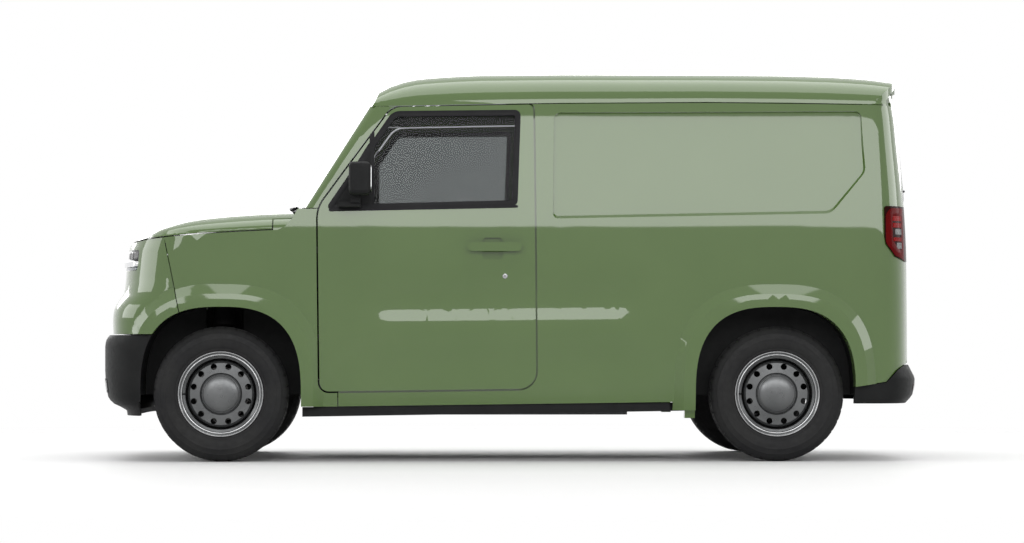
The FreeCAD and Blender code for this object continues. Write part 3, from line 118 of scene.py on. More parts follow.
def mm(x, y, z):
    return Vector((x / 1000, y / 1000, z / 1000))


def turns(count):
    """Angles of one turn, evenly spaced."""
    return [math.tau * k / count for k in range(count)]


def spaced(lo, hi, size):
    """Numbers from lo to hi, about size apart."""
    n = max(1, round((hi - lo) / size))
    return [lo + (hi - lo) * k / n for k in range(n + 1)]


def ramp(u, lo, hi):
    t = min(1.0, max(0.0, (u - lo) / (hi - lo)))
    return t * t * (3 - 2 * t)


def side_at(x, z, out=0.0):
    """Point of the left side, out millimetres proud of it."""
    return mm(x, -(half_width(z) + out), z)


def nose_at(y, z, out=0.0, profile=nose_x, extra=0.0):
    """Point of the nose, or of the front bumper."""
    power = nose_power(z)
    share = min(0.9999, abs(y) / (half_width(z) + extra + out))
    reach = (NOSE_START_X - profile(z) + out) * (1 - share ** power) ** (1 / power)
    return mm(NOSE_START_X - reach, y, z)


def tail_at(y, z, out=0.0, profile=tail_x, extra=0.0):
    """Point of the tail, or of the rear bumper."""
    share = min(0.9999, abs(y) / (half_width(z) + extra + out))
    reach = (profile(z) - TAIL_START_X + out) * (1 - share ** TAIL_POWER) ** (1 / TAIL_POWER)
    return mm(TAIL_START_X + reach, y, z)


bumper_at = partial(nose_at, profile=bumper_front, extra=3)
rear_bumper_at = partial(tail_at, profile=bumper_rear, extra=2)


def on_left(place):
    """A place function of the nose or tail, for points of the left half given by their distance."""
    def at(y, z, out):
        p = place(abs(y), z, out)
        return Vector((p.x, -abs(p.y), p.z))

    return at


def corner_at(s, z, out=0.0):
    """Point of the left tail corner, s millimetres from the start of the curve along it."""
    w = half_width(z) + out
    reach = tail_x(z) - TAIL_START_X + out
    last = Vector((0.0, 1.0))
    gone = 0.0
    parts = 160
    for k in range(1, parts + 1):
        a = math.pi / 2 * k / parts
        e = 2 / TAIL_POWER
        here = Vector((math.sin(a) ** e, math.cos(a) ** e if k < parts else 0.0))
        length = math.hypot((here.x - last.x) * reach, (here.y - last.y) * w)
        if gone + length >= s:
            at = last.lerp(here, (s - gone) / length)
            return mm(TAIL_START_X + reach * at.x, -w * at.y, z)
        gone += length
        last = here
    return mm(TAIL_START_X + reach, 0, z)


def screen_at(y, z, out=0.0):
    """Point of the windscreen's outer face, which bows back from its middle to its side edges."""
    half = half_width(min(z, 1660)) - 55.2
    t = max(-1.0, min(1.0, y / half))
    edge_x = -947 + (z - 1146) * 0.628
    x = screen_x(z) + (edge_x - screen_x(z)) * t * t
    return mm(x + 3 - out, y, z)


def rounded(points, grow=0.0, step=7.0):
    """Closed line of (a, b) points round an outline of (a, b, corner radius), grown outwards."""
    doubled = sum(points[i - 1][0] * points[i][1] - points[i][0] * points[i - 1][1]
                  for i in range(len(points)))
    sign = 1 if doubled > 0 else -1
    n = len(points)
    corners = []
    for i in range(n):
        p = Vector(points[i][:2])
        a = (Vector(points[i - 1][:2]) - p).normalized()
        b = (Vector(points[(i + 1) % n][:2]) - p).normalized()
        half = a.angle(b) / 2
        bend = -a.x * b.y + a.y * b.x
        convex = 1 if bend * sign > 0 else -1
        mid = (a + b).normalized()
        corner = p - mid * convex * (grow / math.sin(half))
        r = max(0.5, points[i][2] + grow * convex)
        centre = corner + mid * (r / math.sin(half))
        start = corner + a * (r / math.tan(half)) - centre
        end = corner + b * (r / math.tan(half)) - centre
        turn = start.angle(end)
        cross = start.x * end.y - start.y * end.x
        count = max(2, int(r * turn / step) + 2)
        arc = []
        for k in range(count + 1):
            t = turn * k / count * (1 if cross > 0 else -1)
            c = math.cos(t)
            s = math.sin(t)
            arc.append(centre + Vector((start.x * c - start.y * s, start.x * s + start.y * c)))
        corners.append(arc)
    line = []
    for i in range(n):
        line += corners[i]
        gap = corners[(i + 1) % n][0] - corners[i][-1]
        parts = int(gap.length / 40)
        line += [corners[i][-1] + gap * (k / (parts + 1)) for k in range(1, parts + 1)]
    return [(p.x, p.y) for p in line]


def outline(points, count, grow=0.0, step=7.0):
    """The rounded outline as count points, evenly spaced along it."""
    pts = [Vector(p) for p in rounded(points, grow, step)]
    pts.append(pts[0])
    total = sum((b - a).length for a, b in zip(pts, pts[1:]))
    out = []
    k = 0
    gone = 0.0
    for i in range(count):
        want = total * i / count
        while gone + (pts[k + 1] - pts[k]).length < want:
            gone += (pts[k + 1] - pts[k]).length
            k += 1
        seg = pts[k + 1] - pts[k]
        out.append(tuple(pts[k] + seg * ((want - gone) / seg.length)))
    return out


def box(a0, b0, a1, b1, radius):
    """Outline of a rectangle with one corner radius."""
    return [(a0, b0, radius), (a1, b0, radius), (a1, b1, radius), (a0, b1, radius)]


# Node trees: one helper makes a node of any tree and fills its inputs.

def fill(tree, node, inputs):
    """Give inputs their numbers and colours, or link them to another node's output."""
    for key, value in inputs.items():
        if isinstance(value, bpy.types.NodeSocket):
            tree.links.new(value, node.inputs[key])
        else:
            node.inputs[key].default_value = value


def node_of(tree, kind, inputs=None, **settings):
    node = tree.nodes.new(kind)
    for name, value in settings.items():
        setattr(node, name, value)
    fill(tree, node, inputs or {})
    return node


def new_material(name):
    """Material with one principled shader; also its tree, that shader and object coordinates."""
    mat = bpy.data.materials.new(name)
    mat.use_nodes = True
    tree = mat.node_tree
    tree.nodes.clear()
    shader = node_of(tree, "ShaderNodeBsdfPrincipled")
    node_of(tree, "ShaderNodeOutputMaterial", {0: shader.outputs[0]})
    return mat, tree, shader, node_of(tree, "ShaderNodeTexCoord").outputs["Object"]


def blend_output(tree, share, first, second):
    """Send a mix of two shaders to the tree's output."""
    mixer = node_of(tree, "ShaderNodeMixShader", {0: share, 1: first.outputs[0], 2: second.outputs[0]})
    out = [n for n in tree.nodes if n.type.startswith("OUTPUT")][0]
    fill(tree, out, {0: mixer.outputs[0]})


def noise(tree, coords, scale, detail=3.0):
    return node_of(tree, "ShaderNodeTexNoise",
                   {"Scale": scale, "Detail": detail, "Vector": coords}).outputs["Fac"]


def spread(tree, value, lo, hi, low=0.3, high=0.7):
    """A value between low and high, brought to lo and hi."""
    return node_of(tree, "ShaderNodeMapRange", {"From Min": low, "From Max": high, "To Min": lo,
                                                "To Max": hi, "Value": value}).outputs[0]


def mix_colour(tree, value, a, b):
    return node_of(tree, "ShaderNodeMix", {6: (*a, 1), 7: (*b, 1), 0: value},
                   data_type="RGBA").outputs[2]


def bump(tree, shader, value, strength, distance):
    node = node_of(tree, "ShaderNodeBump",
                   {"Strength": strength, "Distance": distance, "Height": value})
    fill(tree, shader, {"Normal": node.outputs[0]})


def surface(name, a, b, rough, scale, grain, metallic=0.0, coat=0.0, specular=0.5, coat_ior=1.5):
    """Material with a slow colour change from a to b, uneven roughness and a fine grain."""
    mat, tree, shader, coords = new_material(name)
    change = spread(tree, noise(tree, coords, scale), 0, 1)
    fill(tree, shader, {"Base Color": mix_colour(tree, change, a, b),
                        "Roughness": spread(tree, noise(tree, coords, scale * 7, 4.0), *rough),
                        "Metallic": metallic, "Coat Weight": coat, "Coat Roughness": 0.03,
                        "Coat IOR": coat_ior, "Specular IOR Level": specular})
    size, strength, distance = grain
    bump(tree, shader, noise(tree, coords, size, 2.0), strength, distance)
    return mat


def glass_material(name, tint, share):
    """Thin pane: a tinted see-through layer under a mirror layer that grows towards its edge."""
    mat, tree, shader, coords = new_material(name)
    fill(tree, shader, {"Base Color": (*[c * 0.25 for c in tint], 1), "Specular IOR Level": 0.5,
                        "Roughness": spread(tree, noise(tree, coords, 40.0), 0.02, 0.05)})
    darker = tuple(c * 0.95 for c in tint)
    clear = node_of(tree, "ShaderNodeBsdfTransparent",
                    {"Color": mix_colour(tree, noise(tree, coords, 1.5), tint, darker)})
    weight = node_of(tree, "ShaderNodeLayerWeight", {"Blend": 0.35})
    grown = spread(tree, weight.outputs["Fresnel"], share, 0.92, 0.0, 1.0)
    blend_output(tree, grown, clear, shader)
    return mat


def fabric_material(name, a, b):
    """Woven cloth: crossed thread waves that set its colour between two tones."""
    mat, tree, shader, coords = new_material(name)
    total = None
    for direction in ("X", "Y", "Z"):
        wave = node_of(tree, "ShaderNodeTexWave", {"Scale": 150.0, "Distortion": 1.5,
                                                   "Detail Scale": 3.0, "Vector": coords},
                       bands_direction=direction).outputs["Fac"]
        total = wave if total is None else node_of(tree, "ShaderNodeMath", {0: total, 1: wave},
                                                   operation="ADD").outputs[0]
    fill(tree, shader, {"Base Color": mix_colour(tree, spread(tree, total, 0, 1, 0.6, 2.4), a, b),
                        "Roughness": spread(tree, noise(tree, coords, 30), 0.8, 0.95),
                        "Sheen Weight": 0.3, "Sheen Roughness": 0.5})
    bump(tree, shader, total, 0.35, 0.0006)
    return mat


# Each surface: name, two colours, roughness range, size of the colour change, grain.
paint = surface("leaf_green_paint", (0.073, 0.138, 0.025), (0.080, 0.146, 0.029), (0.30, 0.36), 2.5,
                (260, 0.02, 0.0003), coat=1.0, specular=0.05, coat_ior=1.66)
trim = surface("black_moulded_plastic", (0.009, 0.0094, 0.0096), (0.014, 0.0144, 0.0146),
               (0.45, 0.58), 9, (1400, 0.25, 0.0004), specular=0.12)
gloss_black = surface("gloss_black_panel", (0.004, 0.004, 0.005), (0.007, 0.007, 0.008),
                      (0.10, 0.16), 5, (300, 0.01, 0.0002), specular=0.22)
rubber = surface("seal_rubber", (0.008, 0.008, 0.009), (0.013, 0.013, 0.014), (0.35, 0.5), 12,
                 (700, 0.15, 0.0003), specular=0.12)
tyre_rubber = surface("tyre_rubber", (0.010, 0.010, 0.011), (0.018, 0.018, 0.018), (0.55, 0.72), 7,
                      (420, 0.3, 0.0005), specular=0.2)
steel_paint = surface("wheel_grey_paint", (0.10, 0.103, 0.105), (0.135, 0.138, 0.14), (0.26, 0.36),
                      8, (900, 0.05, 0.0003), metallic=0.85)
bright_steel = surface("bright_rim_steel", (0.32, 0.325, 0.33), (0.40, 0.40, 0.405), (0.18, 0.28),
                       14, (1200, 0.06, 0.0002), metallic=1.0)
chassis_black = surface("chassis_black", (0.007, 0.007, 0.008), (0.013, 0.0125, 0.012),
                        (0.5, 0.75), 6, (120, 0.2, 0.0008), specular=0.04)
cast_iron = surface("cast_metal", (0.09, 0.09, 0.09), (0.15, 0.145, 0.14), (0.45, 0.65), 16,
                    (300, 0.4, 0.001), metallic=0.8)
inner_grey = surface("inner_body_paint", (0.10, 0.105, 0.10), (0.13, 0.135, 0.13), (0.5, 0.65), 5,
                     (500, 0.1, 0.0004))
battery_grey = surface("battery_case", (0.055, 0.058, 0.06), (0.08, 0.083, 0.085), (0.45, 0.6), 8,
                       (260, 0.2, 0.0006))
cab_grey = surface("cab_plastic", (0.020, 0.021, 0.022), (0.030, 0.031, 0.032), (0.5, 0.68), 10,
                   (900, 0.4, 0.0005), specular=0.25)
lens_red, lens_deep, lens_dark = (
    surface(name, a, b, (0.08, 0.14), 9, (420, 0.03, 0.0004), specular=0.06) for name, a, b in (
        ("red_lens", (0.22, 0.0015, 0.002), (0.30, 0.002, 0.003)),
        ("deep_red_lens", (0.10, 0.001, 0.0015), (0.14, 0.001, 0.002)),
        ("dark_red_lens", (0.016, 0.001, 0.001), (0.028, 0.001, 0.001))))
lens_grey = surface("grey_lens", (0.10, 0.10, 0.10), (0.17, 0.17, 0.17), (0.12, 0.2), 60,
                    (900, 0.2, 0.0005), specular=0.4)
silver = surface("silver_lamp_bar", (0.66, 0.67, 0.68), (0.74, 0.75, 0.76), (0.12, 0.2), 20,
                 (800, 0.02, 0.0002), metallic=1.0, coat=0.4)
# Painted shade and reflection: a dark teal colour for the shaded underside of the silver lamp bar, which
# faces down towards the green paint and the floor.
bar_underside_shade = surface("painted_bar_underside_shade", (0.004, 0.035, 0.045), (0.008, 0.06, 0.075),
                    (0.12, 0.2), 18, (600, 0.05, 0.0003), coat=0.8)
plate_white = surface("blank_plate", (0.62, 0.62, 0.60), (0.68, 0.68, 0.66), (0.3, 0.42), 20,
                      (1500, 0.12, 0.0002), coat=0.2)
mirror_face = surface("mirror_face", (0.75, 0.76, 0.77), (0.8, 0.81, 0.82), (0.02, 0.05), 20,
                      (400, 0.01, 0.0001), metallic=1.0)
cloth_grey = fabric_material("seat_cloth", (0.030, 0.031, 0.033), (0.060, 0.062, 0.065))
side_glass = glass_material("side_glass", (0.64, 0.655, 0.655), 0.05)
screen_glass = glass_material("screen_glass", (0.66, 0.69, 0.69), 0.05)
lamp_glass = glass_material("lamp_glass", (0.85, 0.87, 0.88), 0.10)

SLOT_LOOK = {"paint": paint, "trim": trim, "glazing": side_glass, "lamp_band": gloss_black,
             "lamp_clear": lamp_glass, "lamp_red": lens_dark, "wheel_paint": steel_paint,
             "tyre": tyre_rubber, "chassis": chassis_black, "casting": cast_iron,
             "inner_paint": inner_grey, "battery_case": battery_grey, "cab_plastic": cab_grey,
             "seat_cloth": cloth_grey}


# The body's surfaces again, for shading only.

def hollow(x, row):
    """Depth of the two long hollows low in the door and the side panel."""
    upper = ramp(x, -800, -560) * (1 - ramp(x, 480, 680))
    lower = ramp(x, -850, -640) * (1 - ramp(x, 480, 730))
    if 601 < row < 880:
        return upper * 14 * ((row - 601) / 124 if row < 725 else 1 - ramp(row, 725, 880))
    if 335 < row <= 601:
        return lower * 11 * ((row - 335) / 102 if row < 437 else (601 - row) / 164)
    return 0.0


def skin_side(x, row, depth=0.0):
    """Point of the side as the panels have it, with the edges of its hollows rounded off."""
    z = row + BODY_LEAN * x * ramp(row, 250, 400) * (1 - ramp(row, 900, 1150))
    d = sum(hollow(x, row + shift) for shift in (-36, -24, -12, 0, 12, 24, 36)) / 7
    return mm(x, d + depth - half_width(z), z)


def skin_end(a, z, start, power, profile, extra):
    """Point at angle a round a corner of the body, 0 at the side and 90 at the middle plane."""
    c = max(0.0, math.cos(math.radians(a))) ** (2 / power)
    return mm(start + (profile(z) - start) * math.sin(math.radians(a)) ** (2 / power),
              -(half_width(z) + extra) * c, z)


def skin_nose(a, z, profile=nose_x, extra=0.0):
    return skin_end(a, z, NOSE_START_X, nose_power(z), profile, extra)


def skin_tail(a, z, profile=tail_x, extra=0.0):
    return skin_end(a, z, TAIL_START_X, TAIL_POWER, profile, extra)


def skin_bonnet(x, fy):
    """Point of the bonnet, fy of the way from the middle plane to its edge."""
    edge = bonnet_edge_z(x) + 2
    f = max(0.0, (NOSE_START_X - x) / (NOSE_START_X - nose_x(1000)))
    q = min(1.0, (abs(fy) ** 3 + min(1.0, f) ** 3) ** (1 / 3))
    return mm(x, fy * (half_width(edge) - 0.5), edge + bonnet_rise(x) * math.sqrt(1 - q ** 4))


def skin_roof(x, t):
    """Point of the roof, t of the way from the middle plane to its edge."""
    bow = ROOF_BOW * (1 - t * t) * (1 - ramp(x, ROOF_FRONT_X, -300))
    edge = roof_edge_z(x + bow) + 2
    lift = (roof_top_z(x + bow) - edge) * math.sqrt(max(0.0, 1 - abs(t) ** ROOF_POWER))
    return mm(x, t * (half_width(edge) + 1), edge + lift)


def mesh_of(name, form):
    """Mesh from a form, which is a pair of vertices and faces."""
    mesh = bpy.data.meshes.new(name)
    mesh.from_pydata([tuple(v) for v in form[0]], [], form[1])
    mesh.update()
    return mesh


def placed(name, data):
    """New object in the scene."""
    obj = bpy.data.objects.new(name, data)
    bpy.context.scene.collection.objects.link(obj)
    return obj


def shading_surface():
    """Fine grids over the body's surfaces, in no scene, whose normals the panels take over."""
    quarter = spaced(0, 90, 3)
    round_off = [math.sin(math.radians(a)) for a in quarter]
    roof_t = [math.cos(math.radians(a)) ** (2 / ROOF_POWER) for a in reversed(spaced(0, 90, 2.5))]
    rows = spaced(262, 335, 15)
    for lo, hi in ((335, 437), (437, 601), (601, 725), (725, 880), (880, 1654)):
        rows += spaced(lo, hi, 12)[1:]
    bonnet_x = [NOSE_START_X - 378 * r for r in reversed(round_off)]
    bonnet_x += spaced(NOSE_START_X, -1000, 12)[1:]
    patches = [(skin_side, spaced(-1410, 1612, 24), rows, True),
               (partial(skin_side, depth=RECESS), spaced(186, 1600, 24), spaced(1160, 1600, 12), True),
               (skin_nose, quarter, spaced(540, 1010, 8), True),
               (partial(skin_nose, profile=bumper_front, extra=3), quarter, spaced(206, 573, 5), True),
               (skin_tail, quarter, spaced(250, 1700, 12), True),
               (partial(skin_tail, profile=bumper_rear, extra=2), quarter, spaced(262, 437, 5), True),
               (skin_bonnet, bonnet_x, [-r for r in reversed(round_off[1:])] + round_off, False),
               (skin_roof, spaced(-690, 1770, 12), [-t for t in reversed(roof_t[1:])] + roof_t, False)]
    verts = []
    faces = []
    for place, us, vs, twice in patches:
        for side in (1, -1) if twice else (1,):
            base = len(verts)
            for u in us:
                for v in vs:
                    p = place(u, v)
                    verts.append((p.x, p.y * side, p.z))
            n = len(vs)
            faces += [(base + i * n + k, base + i * n + k + 1, base + (i + 1) * n + k + 1,
                       base + (i + 1) * n + k) for i in range(len(us) - 1) for k in range(n - 1)]
    mesh = mesh_of("shading_surface", (verts, faces))
    kept = mesh.attributes.new("clean_normal", "FLOAT_VECTOR", "POINT")
    for item, vert in zip(kept.data, mesh.vertices):
        out = vert.co - Vector((vert.co.x * 0.6, 0, 0.8))
        item.vector = vert.normal if vert.normal.dot(out) > 0 else -vert.normal
    return bpy.data.objects.new("shading_surface", mesh)


SMOOTH_BELOW = math.radians(28.0)
MERGE_GAP = 0.00003
GUIDE_REACH = 0.006
GUIDE_MATCH = 0.93
HOLLOW_X = (-0.76, 0.80)
HOLLOW_Z = (0.40, 0.80)
LARGE_FACE = 0.0006


def smoother(name, guide=None):
    """Geometry nodes that join a mesh's faces and shade them smooth below an angle. Given a guide
    surface, they also divide large faces in the side's hollows, and faces that lie on the guide
    take its normals."""
    group = bpy.data.node_groups.new(name, "GeometryNodeTree")
    for way in ("INPUT", "OUTPUT"):
        group.interface.new_socket("Geometry", in_out=way, socket_type="NodeSocketGeometry")

    def make(kind, inputs=None, **settings):
        return node_of(group, "GeometryNode" + kind, inputs, **settings)

    def test(operation, value, limit):
        return node_of(group, "FunctionNodeCompare", {0: value, 1: limit}, data_type="FLOAT",
                       operation=operation).outputs[0]

    def vector(operation, a, b):
        return node_of(group, "ShaderNodeVectorMath", {0: a, 1: b},
                       operation=operation).outputs["Value"]

    def all_true(first, *others):
        for other in others:
            first = node_of(group, "FunctionNodeBooleanMath", {0: first, 1: other},
                            operation="AND").outputs[0]
        return first

    start = node_of(group, "NodeGroupInput")
    drop = make("RemoveAttribute", {0: start.outputs[0], "Name": "custom_normal"})
    shape = make("MergeByDistance", {0: drop.outputs[0], "Distance": MERGE_GAP}).outputs[0]
    if guide:
        info = make("ObjectInfo", {"Object": guide})
        here = make("InputPosition").outputs[0]
        normal = make("InputNormal").outputs[0]
        kept = make("InputNamedAttribute", {"Name": "clean_normal"}, data_type="FLOAT_VECTOR")
        guide_normal, guide_point = (
            make("SampleNearestSurface", {0: info.outputs["Geometry"], "Value": value},
                 data_type="FLOAT_VECTOR").outputs["Value"]
            for value in (kept.outputs["Attribute"], here))
        flat = make("FieldOnDomain", {"Value": normal}, data_type="FLOAT_VECTOR", domain="FACE")
        near = all_true(
            test("LESS_THAN", vector("DISTANCE", guide_point, here), GUIDE_REACH),
            test("GREATER_THAN", vector("DOT_PRODUCT", guide_normal, flat.outputs[0]), GUIDE_MATCH))
        x, _, z = node_of(group, "ShaderNodeSeparateXYZ", {0: here}).outputs
        chosen = all_true(
            near, test("GREATER_THAN", make("InputMeshFaceArea").outputs[0], LARGE_FACE),
            test("GREATER_THAN", x, HOLLOW_X[0]), test("LESS_THAN", x, HOLLOW_X[1]),
            test("GREATER_THAN", z, HOLLOW_Z[0]), test("LESS_THAN", z, HOLLOW_Z[1]))
        large = make("SeparateGeometry", {0: shape, "Selection": chosen}, domain="FACE")
        finer = make("SubdivideMesh", {0: large.outputs[0], "Level": 3})
        joined = make("JoinGeometry", {0: finer.outputs[0]})
        fill(group, joined, {0: large.outputs[1]})
        shape = joined.outputs[0]
    soft = make("SetShadeSmooth", {0: shape}, domain="FACE")
    below = test("LESS_THAN", make("InputMeshEdgeAngle").outputs[0], SMOOTH_BELOW)
    shape = make("SetShadeSmooth", {0: soft.outputs[0], "Shade Smooth": below},
                 domain="EDGE").outputs[0]
    if guide:
        pick = make("Switch", {"Switch": near, "False": normal, "True": guide_normal},
                    input_type="VECTOR")
        shape = make("SetMeshNormal", {"Mesh": shape, "Custom Normal": pick.outputs[0]},
                     mode="FREE", domain="CORNER").outputs[0]
    node_of(group, "NodeGroupOutput", {0: shape})
    return group


GUIDED = ("wing_left", "wing_right", "wings", "side_panels", "door_left", "door_right", "bonnet",
          "roof_panel", "front_panel", "front_bumper", "rear_bumper", "tailgate")
smooth_group = smoother("smooth_below_angle")
guided_group = smoother("smooth_on_body_surface", shading_surface())


def smooth_node(obj):
    mod = obj.modifiers.new("smooth_below_angle", "NODES")
    mod.node_group = guided_group if obj.name in GUIDED else smooth_group


NODE_SLOT = {part["node"]: part["material_slot"] for part in frame["record"]["subparts"]}
for node_name, node_obj in nodes.items():
    look = SLOT_LOOK.get(NODE_SLOT.get(node_name), trim)
    if node_name == "windscreen":
        look = screen_glass
    if not node_obj.material_slots:
        node_obj.data.materials.append(look)
    for entry in node_obj.material_slots:
        entry.material = look
    smooth_node(node_obj)


def piece(name, form, mat, body="body"):
    """New piece of the scene and on a body."""
    obj = placed(name, mesh_of(name, form))
    obj.data.shade_smooth()
    obj.data.materials.append(mat)
    smooth_node(obj)
    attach(obj, body)
    return obj


def turned(form):
    """The same form with its faces looking the other way."""
    return form[0], [tuple(reversed(f)) for f in form[1]]


def both(form, pattern, mat, bodies=("body", "body")):
    """A left piece and its mirror image, named by putting the side into the pattern."""
    piece(pattern % "left", form, mat, bodies[0])
    mirrored = turned(([(x, -y, z) for x, y, z in form[0]], form[1]))
    piece(pattern % "right", mirrored, mat, bodies[1])


def tube_between(rings, caps=True):
    """Form between closed rings of equal length."""
    n = len(rings[0])
    faces = []
    for k in range(len(rings) - 1):
        for i in range(n):
            j = (i + 1) % n
            faces.append((k * n + i, k * n + j, (k + 1) * n + j, (k + 1) * n + i))
    if caps:
        faces.append(tuple(reversed(range(n))))
        faces.append(tuple(range((len(rings) - 1) * n, len(rings) * n)))
    return [v for ring in rings for v in ring], faces


def frame_ring(place, outer, inner, top, bottom):
    """Closed band between two outlines of equal count, from depth bottom to depth top."""
    rings = [[place(a * (1 - share) + c * share, b * (1 - share) + d * share, depth)
              for (a, b), (c, d) in zip(outer, inner)]
             for share, depth in ((0, bottom), (0, top - 0.6), (0.15, top), (0.85, top),
                                  (1, top - 0.8), (1, bottom))]
    return tube_between(rings + rings[:1], False)


def pad_on(place, line, top, bottom, edge=3.0, levels=4):
    """Crowned patch inside a closed line on a surface, with a rounded edge."""
    n = len(line)
    cx = sum(p[0] for p in line) / n
    cy = sum(p[1] for p in line) / n
    span = max(max(abs(p[0] - cx), abs(p[1] - cy)) for p in line)
    insets = [(0.0, bottom), (0.0, top - (top - bottom) * 0.35),
              (edge * 0.3 / span, top - (top - bottom) * 0.1), (edge / span, top)]
    insets += [(1 - (1 - edge / span) * (1 - k / levels), top) for k in range(1, levels)]
    verts, faces = tube_between([[place(a + (cx - a) * s, b + (cy - b) * s, depth) for a, b in line]
                                 for s, depth in insets], False)
    centre = len(verts)
    verts.append(place(cx, cy, top))
    base = centre - n
    faces += [(base + i, base + (i + 1) % n, centre) for i in range(n)]
    faces.append(tuple(reversed(range(n))))
    return verts, faces


def strip_on(place, a0, a1, z0, z1, top, bottom, count=40):
    """Bar along a surface between two heights, with rounded edges and ends."""
    rings = []
    for k in range(count + 1):
        a = a0 + (a1 - a0) * k / count
        end = min(1.0, min(k, count - k) / 2.5)
        squeeze = math.sqrt(max(0.02, 1 - (1 - end) ** 2))
        mid = (z0 + z1) / 2
        h = (z1 - z0) / 2 * squeeze
        t = bottom + (top - bottom) * (0.5 + 0.5 * squeeze)
        rings.append([place(a, mid - h, bottom), place(a, mid - h, t - 2),
                      place(a, mid - h * 0.82, t), place(a, mid + h * 0.82, t),
                      place(a, mid + h, t - 2), place(a, mid + h, bottom)])
    return tube_between(rings)


def discs_on(place, a, b, sections, count):
    """Round form on a surface about the point (a, b), from (depth, radius) sections."""
    return tube_between([[place(a + r * math.cos(t), b + r * math.sin(t), depth) for t in turns(count)]
                         for depth, r in sections])


def bar_along(line, count, half_high, taper, corners):
    """Bar of four corners round a line, growing flatter towards its end."""
    return tube_between([[line(k / count) + Vector((x, 0, s * (half_high - taper * k / count)))
                          for x, s in corners] for k in range(count + 1)])


def wheel_point(x0, side, r, a, w):
    """Point at radius r and angle a about a wheel's axis, w metres out from the tyre's middle."""
    return Vector((x0 + r * math.cos(a), side * (HALF_TRACK + w), AXLE_Z + r * math.sin(a)))


def wheel_ring(rings, side):
    """Closed ring about a wheel's axis, its faces outwards on either side of the van."""
    form = tube_between(rings + rings[:1], False)
    return form if side > 0 else turned(form)


TREAD_RADIUS = 0.3058
TREAD_HALF = 0.0565
SHOULDER = 0.0395
CENTRE_RIB = 0.0145
GROOVES = (-0.034, -0.012, 0.012, 0.034)
GROOVE_DEPTH = 0.0065
WALL = 0.0825
SIDE_WALL = [(0.1835, 0.0615), (0.190, 0.0665), (0.196, 0.0700), (0.2005, 0.0722), (0.206, 0.0722),
             (0.2085, 0.0748), (0.216, 0.0782), (0.228, 0.0808), (0.240, WALL), (0.2475, WALL),
             (0.2490, WALL + 0.0006), (0.2510, WALL + 0.0006), (0.2525, WALL - 0.0002),
             (0.262, 0.0815), (0.2712, 0.0795), (0.2726, 0.0800), (0.2744, 0.0795), (0.2760, 0.0776),
             (0.285, 0.0735), (0.293, 0.0675), (0.2985, 0.0615)]
TYRE_INSIDE = [(0.190, -0.050), (0.284, -0.056), (0.284, 0.056), (0.190, 0.050)]
TYRE_SECTIONS = 288
BLOCK_SECTIONS = 8


def tread_cut(k, r, w, tread):
    """How far the tread's cross cuts lower a point of section k."""
    phase = (k + (3 if w > 0.02 else 0) + (5 if w < -0.02 else 0)) % BLOCK_SECTIONS
    if tread and abs(w) > CENTRE_RIB and phase == 0:
        return 0.0055
    if tread and abs(w) <= CENTRE_RIB and (k + 2) % BLOCK_SECTIONS == 0:
        return 0.003
    if not tread and 0.292 < r < 0.3 and phase == 0 and abs(w) > 0.055:
        return 0.0025
    return 0.0


def make_tyres():
    stations = [TREAD_HALF, SHOULDER]
    for g in reversed(GROOVES):
        stations += [g + 0.0038, g + 0.0030, g - 0.0030, g - 0.0038]
    stations += [-SHOULDER, -TREAD_HALF]
    ring = [(r, w, False) for r, w in SIDE_WALL]
    for w in stations:
        deep = any(abs(w - g) < 0.0034 for g in GROOVES)
        crown = 0.0035 * (abs(w) / TREAD_HALF) ** 2.4
        ring.append((TREAD_RADIUS - crown - (GROOVE_DEPTH if deep else 0.0), w, not deep))
    ring += [(r, -w, False) for r, w in reversed(SIDE_WALL)]
    ring += [(r, w, False) for r, w in TYRE_INSIDE]
    for name, x0, side in WHEELS:
        rings = [[wheel_point(x0, side, r - tread_cut(k, r, w, tread), a, w) for r, w, tread in ring]
                 for k, a in enumerate(turns(TYRE_SECTIONS))]
        tyre = piece("tread_tyre_" + name, wheel_ring(rings, side), tyre_rubber, "wheel_" + name)
        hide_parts("tyre_" + name)


WHEEL_RINGS = (
    ("rim_lip_", bright_steel, 144, ((0.1872, 0.0722), (0.1892, 0.0742), (0.1920, 0.0742),
                                     (0.1938, 0.0722), (0.1938, 0.0700), (0.1872, 0.0700))),
    ("rim_inner_ring_", bright_steel, 144,
     ((0.1722, 0.0578), (0.1735, 0.0632), (0.1752, 0.0668), (0.1775, 0.0676), (0.1792, 0.0670),
      (0.1792, 0.0650), (0.1745, 0.0620), (0.1738, 0.0578))),
    ("hub_cap_", steel_paint, 96,
     ((0.0002, 0.0655), (0.020, 0.0650), (0.040, 0.0635), (0.058, 0.0607), (0.070, 0.0572),
      (0.0772, 0.0535), (0.0795, 0.0520), (0.0805, 0.0490), (0.0815, 0.0520), (0.0845, 0.0505),
      (0.0862, 0.0470), (0.0862, 0.0440), (0.0002, 0.0440))))
VALVE_RADIUS = 0.1660
VALVE = ((0.044, 0.0050), (0.050, 0.0052), (0.053, 0.0046), (0.055, 0.0034), (0.066, 0.0034),
         (0.0665, 0.0042), (0.0735, 0.0042), (0.0745, 0.0034))


def make_wheel_trim():
    for name, x0, side in WHEELS:
        for label, mat, count, profile in WHEEL_RINGS:
            rings = [[wheel_point(x0, side, r, a, w) for r, w in profile] for a in turns(count)]
            piece(label + name, wheel_ring(rings, side), mat, "wheel_" + name)
        valve = [[wheel_point(x0, side, VALVE_RADIUS, math.pi, w)
                  + Vector((r * math.cos(t), 0, r * math.sin(t))) for t in turns(14)]
                 for w, r in VALVE]
        piece("valve_" + name, tube_between(valve), rubber, "wheel_" + name)


